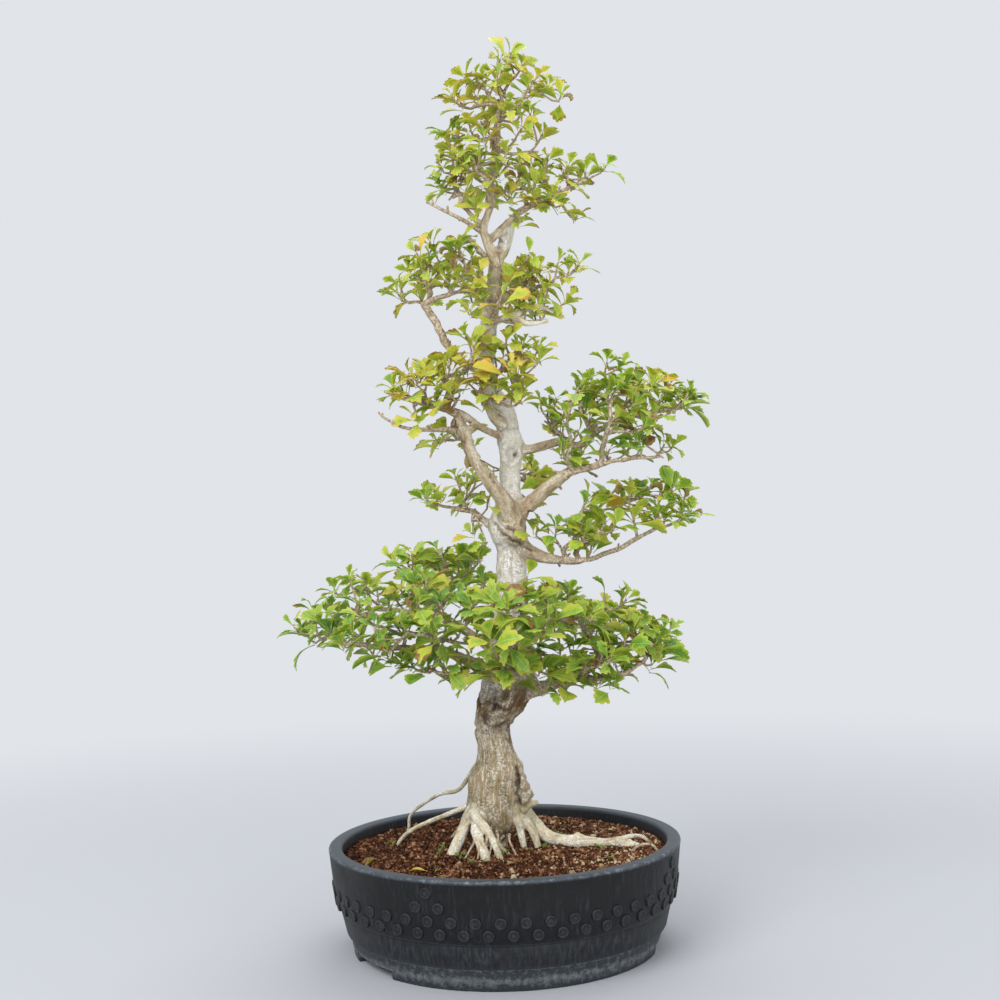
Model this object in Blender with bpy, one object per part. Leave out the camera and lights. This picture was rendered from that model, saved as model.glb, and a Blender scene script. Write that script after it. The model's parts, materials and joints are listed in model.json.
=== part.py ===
# Rose of sharon bonsai in a round drum pot, built at its real size.
# The frame: +Z up, the pot's axis at x = y = 0, its foot ring on z = 0, the viewer in front at -Y.
# Sizes below are in millimetres and are scaled to metres where the meshes are made.

import math
import random

import bmesh
import bpy
from mathutils import Matrix, Vector
from mathutils.bvhtree import BVHTree

MM = 0.001
GAP = 0.3

# Pot
POT_HEIGHT = 105.0
RIM_RADIUS = 178.0
LIP_WIDTH = 14.0
POT_SEGMENTS = 48
STEP_ANGLE = 360.0 / POT_SEGMENTS
FLOOR_TOP = 24.0
FLOOR_THICKNESS = 6.0
FOOT_INNER_RADIUS = 144.0
FOOT_OUTER_RADIUS = 154.5
FOOT_DRAFT = 4.0
NOTCH_ANGLES = (-57.5, 80.5, 191.5)
NOTCH_WIDTH = 66.0
NOTCH_HEIGHT = 8.0
NOTCH_DEPTH = 30.0
DRAIN_RADIUS = 12.0
DRAIN_SIDES = 10
DRAIN_CENTERS = ((-78.0, 0.0), (78.0, 0.0))
SCREEN_SIZE = 38.0
SCREEN_THICKNESS = 1.2

# Radius and height of the outer wall from the foot up: foot, ledge, groove, belly and rolled rim
OUTER_WALL = ((FOOT_OUTER_RADIUS, 0.0), (158.5, 21.0), (161.0, 22.0), (167.0, 44.0), (171.8, 55.0),
              (RIM_RADIUS, POT_HEIGHT - 2.0), (RIM_RADIUS - 2.0, POT_HEIGHT))
# Radius and height of the inner wall, from the floor up to the lip
INNER_WALL = ((146.0, FLOOR_TOP), (160.0, 60.0), (RIM_RADIUS - LIP_WIDTH, POT_HEIGHT - 1.5))

# Studs: a full ring at each of two heights, the lower one shifted by half a step, and four pyramids
STUD_RADIUS = 5.9
STUD_HEIGHT = 2.0
STUD_TAPER = 1.5
STUD_ROOT = 1.5
STUD_SIDES = 5
STUD_START_ANGLE = -24.4
STUD_ROW_HEIGHTS = (66.5, 55.0)
PYRAMID_HEIGHTS = (79.0, 92.5)
PYRAMID_COUNT = 4

# Soil
SOIL_LEVEL = 96.0
SOIL_MOUND = 2.5
ROOT_CLEARANCE = 0.5

# Woody parts
TRUNK_SIDES = 8
ROOT_SIDES = 5
TWIG_RADIUS = 1.3
TWIG_STRIDE = 42.0
TWIG_BEND = 3.0
TWIG_RISE = 12.0
FIRST_STEP = 9.0
HOSTS_TRIED = 4
ROUTES_TRIED = 12
# A forking branch keeps the sum of its twigs' radii to this power
PIPE_EXPONENT = 2.3
# Half the width of the channel that a new twig needs between the nodes around it
TWIG_CHANNEL = 2.6

# Leaves
LEAF_LENGTH = 29.0
LEAF_THICKNESS = 0.8
LEAF_DROOP = 0.16
LEAF_FOLD = 0.20
LEAF_ROLL = 0.5
LEAF_CLEARANCE = 0.5
LEAVES_TRIED = 30
# Half of a leaf's outline: share of the length across and along, from the stalk to the tip.
# It has a side lobe and the notch between that lobe and the middle one.
LEAF_OUTLINE = ((0.42, 0.47), (0.21, 0.60))
LEAF_RIB = 0.50
STALK_SHARE = 0.14
# Leaves beside the one that ends each twig, taken in turn
SIDE_LEAVES = (1, 1, 1, 0)
SIDE_LEAF_STEP = 3.5
LEAF_SEED = 11

# The trunk's centre line: x, y, z and radius
TRUNK_LINE = (
    (-9, 6, 86, 12), (-9, 6, 104, 14), (-10, 6, 114, 20), (-11, 6, 124, 25), (-12, 5, 140, 26),
    (-10, 5, 160, 25.5), (-6, 5, 179, 22), (-7, 5, 199, 19), (-10, 5, 216, 18), (-7, 5, 230, 20),
    (2, 4, 246, 26), (8, 3, 262, 27), (11, 3, 282, 24), (12, 4, 306, 19), (13, 5, 338, 16.5),
    (16, 6, 396, 15.5), (12, 3, 420, 20), (15, 5, 442, 15.5), (16, 6, 462, 11), (17, 6, 480, 10.5),
    (19, 5, 500, 12.5), (16, 4, 521, 10.5), (12, 3, 541, 9.5), (1, 2, 560, 9.5), (-5, 1, 583, 10),
    (-1, 0, 630, 9.5), (4, 0, 652, 8.5), (10, 0, 696, 8.2), (17, 1, 708, 7.5), (21, 2, 722, 7),
    (24, 3, 736, 6.2),
)

# Surface roots: x, y, z and radius; each one ends below the soil
ROOTS = {
    "aerial_left": ((-18, 12, 186, 3.2), (-28, 14, 176, 2.9), (-41, 22, 156, 2.5), (-50, 30, 148, 2.4),
                    (-69, 50, 141, 2.3), (-98, 78, 118, 2.0), (-103, 84, 102, 2.0), (-104, 86, 86, 1.8)),
    "low_left": ((-26, 4, 141, 3.5), (-68, 14, 124, 2.6), (-94, 22, 112, 2.4), (-108, 26, 100, 2.4),
                 (-114, 27, 86, 2.2)),
    "front_left": ((-26, -4, 142, 6), (-37, -12, 130, 5.2), (-46, -20, 112, 4.6), (-54, -27, 97, 4.2),
                   (-58, -31, 84, 3.6)),
    "front": ((-20, -12, 134, 6), (-28, -26, 122, 4.8), (-25, -38, 110, 4.4), (-19, -50, 97, 4.2),
              (-16, -57, 84, 3.8)),
    "front_crossing": ((-28, -8, 141, 5), (-30, -21, 134, 4.2), (-19, -33, 124, 3.8),
                       (-11, -42, 110, 3.4), (0, -58, 85, 2.4)),
    "front_fork": ((-12, -40, 112, 2.8), (-4, -36, 103, 2.6), (4, -34, 94, 2.4), (9, -33, 84, 2.2)),
    "back_left": ((-24, 16, 132, 6), (-38, 32, 114, 5), (-52, 47, 98, 4.4), (-62, 57, 84, 3.6)),
    "back": ((-6, 22, 132, 7), (-4, 40, 114, 5.6), (0, 58, 98, 4.6), (4, 70, 84, 3.6)),
    "right_inner": ((10, -4, 136, 6), (15, -7, 118, 4.4), (19, -9, 100, 3.6), (21, -10, 84, 3.0)),
    "right_middle": ((10, -2, 134, 7), (24, -5, 120, 5), (31, -8, 106, 4.2), (36, -10, 86, 3.4)),
    "right_long": ((4, 6, 142, 9), (20, 7, 132, 7.6), (31, 6, 118, 6.8), (42, 3, 105, 6.2),
                   (62, -3, 99, 6.2), (92, -6, 97, 5.6), (106, -4, 97, 4.2), (130, 5, 102, 2.6),
                   (143, 8, 99, 2.2), (152, 10, 88, 2.0)),
    "right_tip": ((110, -3, 98, 3.4), (126, -8, 98, 2.8), (137, -16, 95, 2.3), (142, -21, 86, 2.0)),
}

# Burls on the bark: centre and radius
BURLS = ((15, -8, 169, 6.5), (20, -8, 157, 6.5), (23, -5, 144, 6.5), (-28, -44, 519, 8.5),
         (20, -9, 413, 13))

# Limbs up to their first fork: x, y, z and radius. A spray starts at the end of each one that is
# named in SPRAYS; the rest are bare stubs and twigs.
LIMBS = {
    "low_left": ((2, -4, 268, 11), (-16, -16, 278, 8), (-36, -24, 290, 6), (-56, -30, 299, 4.6)),
    "low_left_back": ((4, 10, 290, 9), (-12, 22, 300, 6.5), (-30, 34, 311, 4.6)),
    "low_front": ((10, -8, 272, 10), (13, -28, 284, 7), (17, -46, 300, 4.8)),
    "low_right": ((18, 0, 254, 12), (38, -8, 256, 8.5), (58, -16, 262, 6), (74, -22, 267, 4.2)),
    "low_right_back": ((16, 10, 300, 8), (34, 24, 312, 5.8), (52, 36, 322, 4.2)),
    "low_back": ((12, 12, 274, 9), (20, 34, 290, 6.5), (26, 54, 306, 4.6)),
    "small_left": ((12, 5, 408, 7), (-4, 6, 422, 4.6), (-17, 7, 434, 3.4)),
    "right_low": ((20, 2, 404, 12), (36, -2, 394, 8), (52, -5, 388, 6), (66, -7, 386, 4.6)),
    "right_high": ((20, 0, 434, 11), (38, -6, 446, 9), (56, -12, 461, 7.8), (72, -17, 472, 6.2)),
    "right_inner": ((20, 4, 502, 8), (36, 3, 500, 5.6), (62, 1, 506, 4.8)),
    "middle_left": ((17, -5, 424, 13), (11, -17, 444, 10), (1, -27, 460, 8), (-11, -35, 477, 7),
                    (-22, -41, 496, 6.2), (-28, -44, 516, 6.4), (-33, -47, 529, 3.8)),
    "middle_front": ((14, 0, 524, 7), (2, -13, 532, 5.2), (-5, -22, 545, 4)),
    "middle_back": ((16, 8, 446, 9), (14, 26, 460, 5.8), (12, 42, 474, 4.2)),
    "upper_left": ((-4, 0, 584, 7), (-19, -8, 586, 5.2), (-33, -13, 593, 4.4), (-43, -16, 607, 3.8)),
    "upper_right": ((4, 0, 650, 6), (17, 4, 658, 3.8), (27, 6, 665, 3)),
    "upper_front": ((-4, 0, 606, 7), (-11, -12, 610, 4.6), (-7, -20, 621, 4), (4, -22, 628, 3.4)),
    "upper_back": ((-2, 2, 622, 6.5), (2, 17, 633, 4), (4, 30, 644, 3.2)),
    "apex_left": ((-3, -12, 727, 3.8), (-13, -15, 738, 2.6), (-21, -17, 747, 2.2)),
    "apex_right": ((4, -11, 716, 4), (17, -14, 728, 3), (28, -16, 737, 2.4)),
    "apex_front": ((4, -12, 748, 3.6), (3, -22, 758, 2.6), (2, -30, 767, 2.2)),
    "apex_back": ((4, -8, 752, 3.8), (7, 6, 763, 2.8), (9, 17, 774, 2.4)),
    "apex_crown": ((9, -2, 690, 6.4), (3, -10, 704, 5.2), (-1, -13, 716, 4.8), (-3, -14, 727, 4.4),
                   (6, -10, 754, 4), (5, -8, 766, 3.8), (8, -7, 784, 3.5), (11, -6, 802, 3.2)),
    "bare_twig": ((-2, -13, 720, 2.2), (-20, -20, 738, 1.8), (-42, -25, 747, 1.5), (-62, -28, 754, 1.2)),
    "bare_stub": ((4, -4, 692, 3), (-9, -12, 706, 2.6), (-20, -16, 718, 2.2)),
    "bare_left": ((-30, -44, 521, 3), (-55, -50, 519, 2.2), (-86, -54, 521, 1.6)),
}

# The boughs that carry a spray on from its limb, each joined to the nearest point before it
BOUGHS = {
    "low_left": (((-92, -38, 303), (-128, -46, 307), (-162, -42, 314)),),
    "low_left_back": (((-58, 50, 326), (-94, 66, 334), (-132, 70, 338)),),
    "low_front": (((22, -76, 308), (22, -104, 320)),),
    "low_right": (((98, -38, 268), (124, -50, 274), (146, -46, 287)),),
    "low_right_back": (((78, 52, 327), (106, 66, 326)),),
    "low_back": (((26, 86, 322), (20, 112, 330)),),
    "small_left": (((-34, 8, 440), (-62, 8, 448)),),
    "right_low": (((91, -10, 385), (122, -15, 395), (166, -20, 417)),
                  ((84, 2, 396), (112, 10, 410), (126, 8, 428))),
    "right_high": (((98, -24, 479), (130, -31, 485), (166, -36, 487)),),
    "right_inner": (((88, -1, 503), (110, -4, 518), (140, -7, 529), (176, -10, 535)),),
    "middle_left": (((-52, -50, 544), (-78, -50, 552)),),
    "middle_back": (((12, 66, 484),),),
    "upper_left": (((-54, -17, 631), (-66, -17, 650)),),
    "upper_front": (((18, -24, 629), (34, -26, 626), (52, -27, 629)),),
    "upper_right": (((46, 4, 667), (66, 2, 671)),),
    "apex_right": (((44, -14, 748), (74, -8, 762), (104, -4, 776)),),
    "apex_crown": (((14, -4, 830), (20, 0, 862)), ((40, 0, 806), (54, 2, 814))),
}

# The outer leaves of each spray, chosen by hand from the photo for x and z, with y for the pad's depth
SPRAYS = {
    "low_left": ((-208, -18, 322), (-186, -58, 334), (-160, -96, 314), (-150, -42, 350),
                 (-126, -108, 330), (-118, -72, 294), (-108, -50, 364), (-84, -76, 286),
                 (-76, -92, 372), (-64, -132, 322), (-44, -78, 270)),
    "low_left_back": ((-188, 40, 338), (-150, 66, 362), (-128, 108, 344), (-104, 40, 384),
                      (-86, 138, 340), (-66, 34, 392), (-54, 104, 372), (-34, 56, 388)),
    "low_front": ((-26, -112, 346), (-8, -144, 318), (22, -94, 354), (38, -132, 322),
                  (10, -104, 288), (44, -84, 280)),
    "low_right": ((98, -92, 334), (84, -62, 296), (136, -32, 346), (116, -100, 292), (142, -78, 316),
                  (168, -52, 304), (180, -6, 310), (122, -64, 262)),
    "low_right_back": ((86, 58, 350), (82, 108, 330), (116, 84, 338), (122, 30, 350),
                       (118, 118, 306), (156, 34, 334)),
    "low_back": ((-10, 110, 350), (24, 96, 364), (48, 126, 338), (4, 150, 320)),
    "small_left": ((-76, -4, 455), (-54, 18, 462), (-42, -14, 458), (-26, 8, 474), (-30, 0, 416)),
    "right_low": ((104, -14, 446), (128, 24, 450), (148, -22, 452), (182, 4, 450), (200, -14, 430),
                  (98, 26, 418), (128, -48, 418), (170, -38, 408)),
    "right_high": ((98, -28, 560), (84, -48, 532), (134, -44, 556), (172, -28, 558),
                   (158, -58, 516), (184, -18, 500)),
    "right_inner": ((130, 0, 588), (68, 4, 540), (154, 12, 564), (186, 30, 550), (215, -2, 546),
                    (140, 52, 534), (82, 14, 500), (72, 24, 526)),
    "middle_left": ((-106, -52, 562), (-90, -32, 576), (-70, -76, 570), (-92, -68, 540),
                    (-48, -50, 584), (-46, -84, 554), (-58, -24, 512), (-34, -22, 586)),
    "middle_front": ((6, -44, 592), (34, -32, 598), (22, -68, 576), (-12, -56, 566), (40, -54, 558)),
    "middle_back": ((-24, 58, 506), (42, 70, 502), (-8, 90, 488), (36, 98, 480), (48, 36, 478)),
    "upper_left": ((-100, -12, 662), (-86, -32, 680), (-80, 14, 668), (-60, -6, 702), (-42, -24, 706),
                   (-50, 12, 684)),
    "upper_right": ((32, -12, 690), (48, 20, 684), (66, -4, 690), (92, 8, 684)),
    "upper_front": ((26, -34, 646), (56, -34, 642), (88, -22, 650), (-24, -32, 642)),
    "upper_back": ((-22, 50, 668), (12, 64, 674), (36, 44, 664)),
    "apex_left": ((-40, -22, 774), (-34, -34, 796), (-24, -38, 764)),
    "apex_right": ((44, -28, 730), (84, -20, 746), (60, -14, 772), (90, 4, 786), (134, -2, 790)),
    "apex_front": ((16, -46, 776), (-10, -46, 790), (28, -40, 800)),
    "apex_back": ((-16, 38, 794), (18, 44, 800), (44, 30, 788)),
    "apex_crown": ((-38, -8, 828), (-32, 4, 862), (-12, -14, 884), (28, 2, 906), (52, -4, 898),
                   (62, 12, 872), (90, -2, 864), (56, -22, 842), (24, -28, 846), (70, 8, 828),
                   (-4, 26, 846)),
}


def remove_everything():
    for item in list(bpy.data.objects):
        bpy.data.objects.remove(item, do_unlink=True)


def make_material(name, color, roughness, metallic=0.0):
    material = bpy.data.materials.new(name)
    material.use_nodes = True
    shader = material.node_tree.nodes["Principled BSDF"]
    shader.inputs["Base Color"].default_value = (*color, 1.0)
    shader.inputs["Roughness"].default_value = roughness
    shader.inputs["Metallic"].default_value = metallic
    material.diffuse_color = (*color, 1.0)
    return material


def make_object(name, verts, faces, material=None):
    mesh = bpy.data.meshes.new(name)
    mesh.from_pydata([Vector(v) * MM for v in verts], [], faces)
    item = bpy.data.objects.new(name, mesh)
    bpy.context.scene.collection.objects.link(item)
    if material:
        mesh.materials.append(material)
    return item


def shade(item, angle=35.0):
    item.data.shade_smooth()
    item.data.set_sharp_from_angle(angle=math.radians(angle))


def apply_modifiers(item):
    graph = bpy.context.evaluated_depsgraph_get()
    mesh = bpy.data.meshes.new_from_object(item.evaluated_get(graph))
    item.modifiers.clear()
    old = item.data
    item.data = mesh
    mesh.name = item.name
    bpy.data.meshes.remove(old)


def combine(item, others, operation, solver="EXACT"):
    # One Boolean joins or cuts the whole collection, whose objects then go
    group = bpy.data.collections.new(item.name + "_parts")
    bpy.context.scene.collection.children.link(group)
    for other in others:
        bpy.context.scene.collection.objects.unlink(other)
        group.objects.link(other)
    boolean = item.modifiers.new(operation.lower(), "BOOLEAN")
    boolean.operation = operation
    boolean.operand_type = "COLLECTION"
    boolean.collection = group
    boolean.solver = solver
    apply_modifiers(item)
    for other in others:
        bpy.data.objects.remove(other, do_unlink=True)
    bpy.data.collections.remove(group)


def keep_largest_shell(item):
    # Loose scraps and sealed hollows left by fusing go; the body with the most faces stays
    bm = bmesh.new()
    bm.from_mesh(item.data)
    unseen = set(bm.faces)
    shells = []
    while unseen:
        stack = [unseen.pop()]
        shell = list(stack)
        while stack:
            for edge in stack.pop().edges:
                for face in edge.link_faces:
                    if face in unseen:
                        unseen.remove(face)
                        stack.append(face)
                        shell.append(face)
        shells.append(shell)
    shells.sort(key=len, reverse=True)
    for shell in shells[1:]:
        verts = {v for face in shell for v in face.verts}
        bmesh.ops.delete(bm, geom=list(verts), context="VERTS")
    bm.to_mesh(item.data)
    bm.free()


def ring_frame(direction, previous=None):
    if previous is None:
        helper = Vector((0, 0, 1)) if abs(direction.z) < 0.9 else Vector((1, 0, 0))
        side = direction.cross(helper).normalized()
    else:
        side = (previous - direction * previous.dot(direction)).normalized()
    return side, direction.cross(side)


def ring_frames(stations):
    points = [Vector(s[:3]) for s in stations]
    frames = []
    side = None
    for index, point in enumerate(points):
        before = points[max(index - 1, 0)]
        after = points[min(index + 1, len(points) - 1)]
        side, across = ring_frame((after - before).normalized(), side)
        frames.append((point, side, across))
    return frames


def tube_mesh(stations, sides, extra=0.0, twist=0.0):
    # A closed tube through stations (x, y, z, radius) with a flat cap at each end
    points = ring_frames(stations)
    verts = []
    for index, (point, side, across) in enumerate(points):
        radius = stations[index][3] + extra
        for step in range(sides):
            angle = twist + 2 * math.pi * step / sides
            verts.append(point + (side * math.cos(angle) + across * math.sin(angle)) * radius)
    faces = [tuple(reversed(range(sides)))]
    for ring in range(len(points) - 1):
        for step in range(sides):
            a = ring * sides + step
            b = ring * sides + (step + 1) % sides
            faces.append((a, b, b + sides, a + sides))
    last = (len(points) - 1) * sides
    faces.append(tuple(range(last, last + sides)))
    return verts, faces


def lathe(name, profile, segments, start_angle):
    # Spins a closed or axis-to-axis profile of (radius, z) about the Z axis
    bm = bmesh.new()
    turn = Matrix.Rotation(math.radians(start_angle), 3, "Z")
    verts = [bm.verts.new(turn @ Vector((r * MM, 0, z * MM))) for r, z in profile]
    edges = [bm.edges.new(pair) for pair in zip(verts, verts[1:])]
    bmesh.ops.spin(bm, geom=verts + edges, axis=(0, 0, 1), cent=(0, 0, 0), steps=segments,
                   angle=2 * math.pi, use_merge=True)
    bmesh.ops.remove_doubles(bm, verts=bm.verts, dist=0.00001)
    bmesh.ops.recalc_face_normals(bm, faces=bm.faces)
    mesh = bpy.data.meshes.new(name)
    bm.to_mesh(mesh)
    bm.free()
    item = bpy.data.objects.new(name, mesh)
    bpy.context.scene.collection.objects.link(item)
    return item


def front_angle(degrees):
    # Angles round the pot are counted from the front, positive to the right
    return math.radians(degrees - 90.0)


def wall_radius(height):
    # The outer wall's radius at a height, and its lean there
    for (r0, z0), (r1, z1) in zip(OUTER_WALL, OUTER_WALL[1:]):
        if z0 <= height <= z1 and z1 > z0:
            return r0 + (r1 - r0) * (height - z0) / (z1 - z0), math.atan2(r1 - r0, z1 - z0)
    raise ValueError("height is off the wall")


def stud(angle, height):
    # A low cone that sinks its root into the wall and stands square to it
    radius, lean = wall_radius(height)
    bm = bmesh.new()
    bmesh.ops.create_cone(bm, cap_ends=True, segments=STUD_SIDES, radius1=(STUD_RADIUS + 0.6) * MM,
                          radius2=(STUD_RADIUS + 0.6 - STUD_TAPER) * MM,
                          depth=(STUD_HEIGHT + STUD_ROOT) * MM)
    facet = radius * math.cos(math.radians(STEP_ANGLE / 2))
    out = Matrix.Rotation(front_angle(angle), 4, "Z")
    place = Matrix.Translation(Vector((facet + (STUD_HEIGHT - STUD_ROOT) / 2, 0, height)) * MM)
    tilt = Matrix.Rotation(math.pi / 2 + lean, 4, "Y")
    bmesh.ops.transform(bm, matrix=out @ place @ tilt, verts=bm.verts)
    mesh = bpy.data.meshes.new("stud")
    bm.to_mesh(mesh)
    bm.free()
    item = bpy.data.objects.new("stud", mesh)
    bpy.context.scene.collection.objects.link(item)
    return item


def stud_places():
    places = []
    for row, height in enumerate(STUD_ROW_HEIGHTS):
        for step in range(POT_SEGMENTS):
            places.append((STUD_START_ANGLE + STEP_ANGLE * (step + row / 2), height))
    for corner in range(PYRAMID_COUNT):
        middle = STUD_START_ANGLE + corner * 360.0 / PYRAMID_COUNT
        for shift in (-0.5, 0.5):
            places.append((middle + shift * STEP_ANGLE, PYRAMID_HEIGHTS[0]))
        places.append((middle, PYRAMID_HEIGHTS[1]))
    return places


def box(name, size, center, turn=0.0):
    # A box centred on a point, both then turned about the pot's axis
    bm = bmesh.new()
    bmesh.ops.create_cube(bm, size=1.0)
    grow = Matrix.Diagonal(Vector(size) * MM).to_4x4()
    rotate = Matrix.Rotation(turn, 4, "Z")
    move = Matrix.Translation(Vector(center) * MM)
    bmesh.ops.transform(bm, matrix=rotate @ move @ grow, verts=bm.verts)
    mesh = bpy.data.meshes.new(name)
    bm.to_mesh(mesh)
    bm.free()
    item = bpy.data.objects.new(name, mesh)
    bpy.context.scene.collection.objects.link(item)
    return item


def lathe_start():
    # Stud centres of the upper row fall on the middle of a facet
    return STUD_START_ANGLE - 90.0 + STEP_ANGLE / 2


def build_pot(material):
    bottom = FLOOR_TOP - FLOOR_THICKNESS
    underside = ((0.0, bottom), (FOOT_INNER_RADIUS - FOOT_DRAFT, bottom), (FOOT_INNER_RADIUS, 0.0))
    lip_edge = ((RIM_RADIUS - LIP_WIDTH + 2.0, POT_HEIGHT),)
    profile = underside + OUTER_WALL + lip_edge + tuple(reversed(INNER_WALL)) + ((0.0, FLOOR_TOP),)
    pot = lathe("pot", profile, POT_SEGMENTS, lathe_start())
    combine(pot, [stud(*place) for place in stud_places()], "UNION")
    cutters = []
    for angle in NOTCH_ANGLES:
        # The notch is open below, so its cutter runs on under the foot
        middle = ((FOOT_INNER_RADIUS + FOOT_OUTER_RADIUS) / 2, 0.0, 0.0)
        size = (NOTCH_DEPTH, NOTCH_WIDTH, 2 * NOTCH_HEIGHT)
        cutters.append(box("notch", size, middle, front_angle(angle)))
    for x, y in DRAIN_CENTERS:
        ends = ((x, y, bottom - 5.0, DRAIN_RADIUS), (x, y, FLOOR_TOP + 5.0, DRAIN_RADIUS))
        cutters.append(make_object("drain", *tube_mesh(ends, DRAIN_SIDES)))
    combine(pot, cutters, "DIFFERENCE")
    pot.data.materials.append(material)
    shade(pot)
    return pot


def build_screens(material):
    screens = []
    for number, (x, y) in enumerate(DRAIN_CENTERS, start=1):
        screen = box(f"drain_screen_{number}", (SCREEN_SIZE, SCREEN_SIZE, SCREEN_THICKNESS), (0, 0, 0))
        screen.location = Vector((x, y, FLOOR_TOP + GAP + SCREEN_THICKNESS / 2)) * MM
        screen.data.materials.append(material)
        screens.append(screen)
    return screens


def soil_height(radius):
    return SOIL_LEVEL + SOIL_MOUND * (1.0 - (radius / RIM_RADIUS) ** 2)


def build_soil(material):
    # The grit fills the pot to just below the lip, a gap away from the wall all round
    inset = GAP * 1.2
    bottom = FLOOR_TOP + GAP
    (r0, z0), (r1, z1) = INNER_WALL[-2:]
    edge = r0 + (r1 - r0) * (SOIL_LEVEL - z0) / (z1 - z0) - inset
    profile = [(0.0, bottom), (INNER_WALL[0][0] - inset, bottom)]
    profile += [(radius - inset, height) for radius, height in INNER_WALL[1:-1]]
    profile += [(edge, soil_height(edge)), (0.0, soil_height(0.0))]
    soil = lathe("soil", profile, POT_SEGMENTS, lathe_start())
    cutters = []
    for x, y in DRAIN_CENTERS:
        side = SCREEN_SIZE + 2 * GAP
        recess = 2 * (SCREEN_THICKNESS + GAP)
        cutters.append(box("recess", (side, side, recess), (x, y, bottom)))
    base = [station for station in TRUNK_LINE if station[2] < POT_HEIGHT + 20.0]
    grown = [(base, TRUNK_SIDES)] + [(stations, ROOT_SIDES) for stations in ROOTS.values()]
    for stations, sides in grown:
        hole = tube_mesh(lower_end(stations), sides, ROOT_CLEARANCE)
        cutters.append(make_object("hole", *hole))
    combine(soil, cutters, "DIFFERENCE")
    keep_largest_shell(soil)
    soil.data.materials.append(material)
    shade(soil)
    return soil


def lower_end(stations):
    # The hole reaches a little past the buried end of a root, whichever end that is
    stations = list(stations)
    index = 0 if stations[0][2] < stations[-1][2] else -1
    x, y, z, radius = stations[index]
    stations[index] = (x, y, z - ROOT_CLEARANCE, radius)
    return stations


def icosphere(center, radius, name):
    bm = bmesh.new()
    bmesh.ops.create_icosphere(bm, subdivisions=1, radius=radius * MM)
    bmesh.ops.translate(bm, vec=Vector(center) * MM, verts=bm.verts)
    mesh = bpy.data.meshes.new(name)
    bm.to_mesh(mesh)
    bm.free()
    item = bpy.data.objects.new(name, mesh)
    bpy.context.scene.collection.objects.link(item)
    return item


def limb_sides(stations):
    radius = stations[0][3]
    return 4 if radius < 4 else 5 if radius < 8 else 6


def build_trunk(material):
    trunk = make_object("trunk", *tube_mesh(TRUNK_LINE, TRUNK_SIDES))
    parts = [make_object(name, *tube_mesh(line, ROOT_SIDES)) for name, line in ROOTS.items()]
    parts += [make_object(name, *tube_mesh(line, limb_sides(line))) for name, line in LIMBS.items()]
    parts += [icosphere((x, y, z), radius, "burl") for x, y, z, radius in BURLS]
    combine(trunk, parts, "UNION")
    keep_largest_shell(trunk)
    trunk.data.materials.append(material)
    shade(trunk, 60.0)
    return trunk


class Twig:
    # A point of a spray's branching: where it is, what it grows from and what grows from it
    def __init__(self, place, parent, path):
        self.place = place
        self.parent = parent
        self.path = path
        self.children = []
        self.radius = TWIG_RADIUS
        if parent:
            parent.children.append(self)


def route(host, tip, chance):
    # The bends of a twig from its host to its tip, which it enters from below
    span = tip - host.place
    climb = (span.normalized() + Vector((0, 0, 0.8))).normalized()
    last_bend = tip - climb * min(TWIG_RISE, span.length * 0.45)
    count = round((last_bend - host.place).length / TWIG_STRIDE)
    places = []
    for step in range(1, count + 1):
        share = step / count
        place = host.place.lerp(last_bend, share)
        if step < count:
            place += Vector([chance.uniform(-TWIG_BEND, TWIG_BEND) for _ in range(3)])
            place.z -= TWIG_BEND * math.sin(math.pi * share)
        places.append(place)
    return places + [tip]


def carry_on(point, places, points):
    for place in places:
        point = Twig(place, point, point.path + (place - point.place).length)
        points.append(point)
    return point


def grow_spray(limb, boughs, tips, chance, blockers):
    # Each tip joins the nearest point of the branching so far that it can reach in the clear
    end = Vector(limb[-1][:3])
    heading = (end - Vector(limb[-2][:3])).normalized()
    start = Twig(end + heading * GAP, None, 0.0)
    first = Twig(start.place + heading * FIRST_STEP, start, FIRST_STEP)
    points = [first]
    for bough in boughs:
        places = [Vector(place) for place in bough]
        host = min(points, key=lambda p: (places[0] - p.place).length)
        carry_on(host, places, points)
    for tip in sorted((twig_end(leaf) for leaf in tips), key=lambda t: (t - end).length):
        hosts = sorted(points, key=lambda p: (tip - p.place).length + 0.4 * p.path)
        hosts = hosts[:HOSTS_TRIED]
        for attempt in range(ROUTES_TRIED):
            host = hosts[attempt % len(hosts)]
            places = route(host, tip, chance)
            probe = tube_mesh([(*place, TWIG_CHANNEL) for place in [host.place] + places], 4)
            if not crosses(bvh_of(*probe), blockers):
                break
        else:
            print("no clear way to", tuple(tip))
        # Nothing grows from a tip, so it isn't kept as a host
        points.remove(carry_on(host, places, points))
    set_radii(start)
    start.radius = limb[-1][3]
    first.radius = min(max(first.radius, 0.75 * start.radius), start.radius)
    return start


def twig_end(leaf):
    # The chosen place is the middle of the leaf, so its twig stops short of it
    middle = Vector(leaf)
    out = Vector((middle.x, middle.y, 0.0)).normalized()
    return middle - out * (0.4 * LEAF_LENGTH)


def set_radii(point):
    if point.children:
        total = sum(set_radii(child) ** PIPE_EXPONENT for child in point.children)
        point.radius = total ** (1.0 / PIPE_EXPONENT)
    return point.radius


def chains(start):
    # Follows the thickest child from each fork; the other children start chains of their own
    found = []
    waiting = [(start, None)]
    while waiting:
        point, origin = waiting.pop()
        line = [origin, point] if origin else [point]
        while point.children:
            ordered = sorted(point.children, key=lambda c: c.radius, reverse=True)
            for other in ordered[1:]:
                waiting.append((other, point))
            point = ordered[0]
            line.append(point)
        stations = [(*p.place, p.radius) for p in line]
        if origin:
            stations[0] = (*origin.place, min(stations[1][3], 0.5 * origin.radius))
        found.append(stations)
    return found


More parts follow.
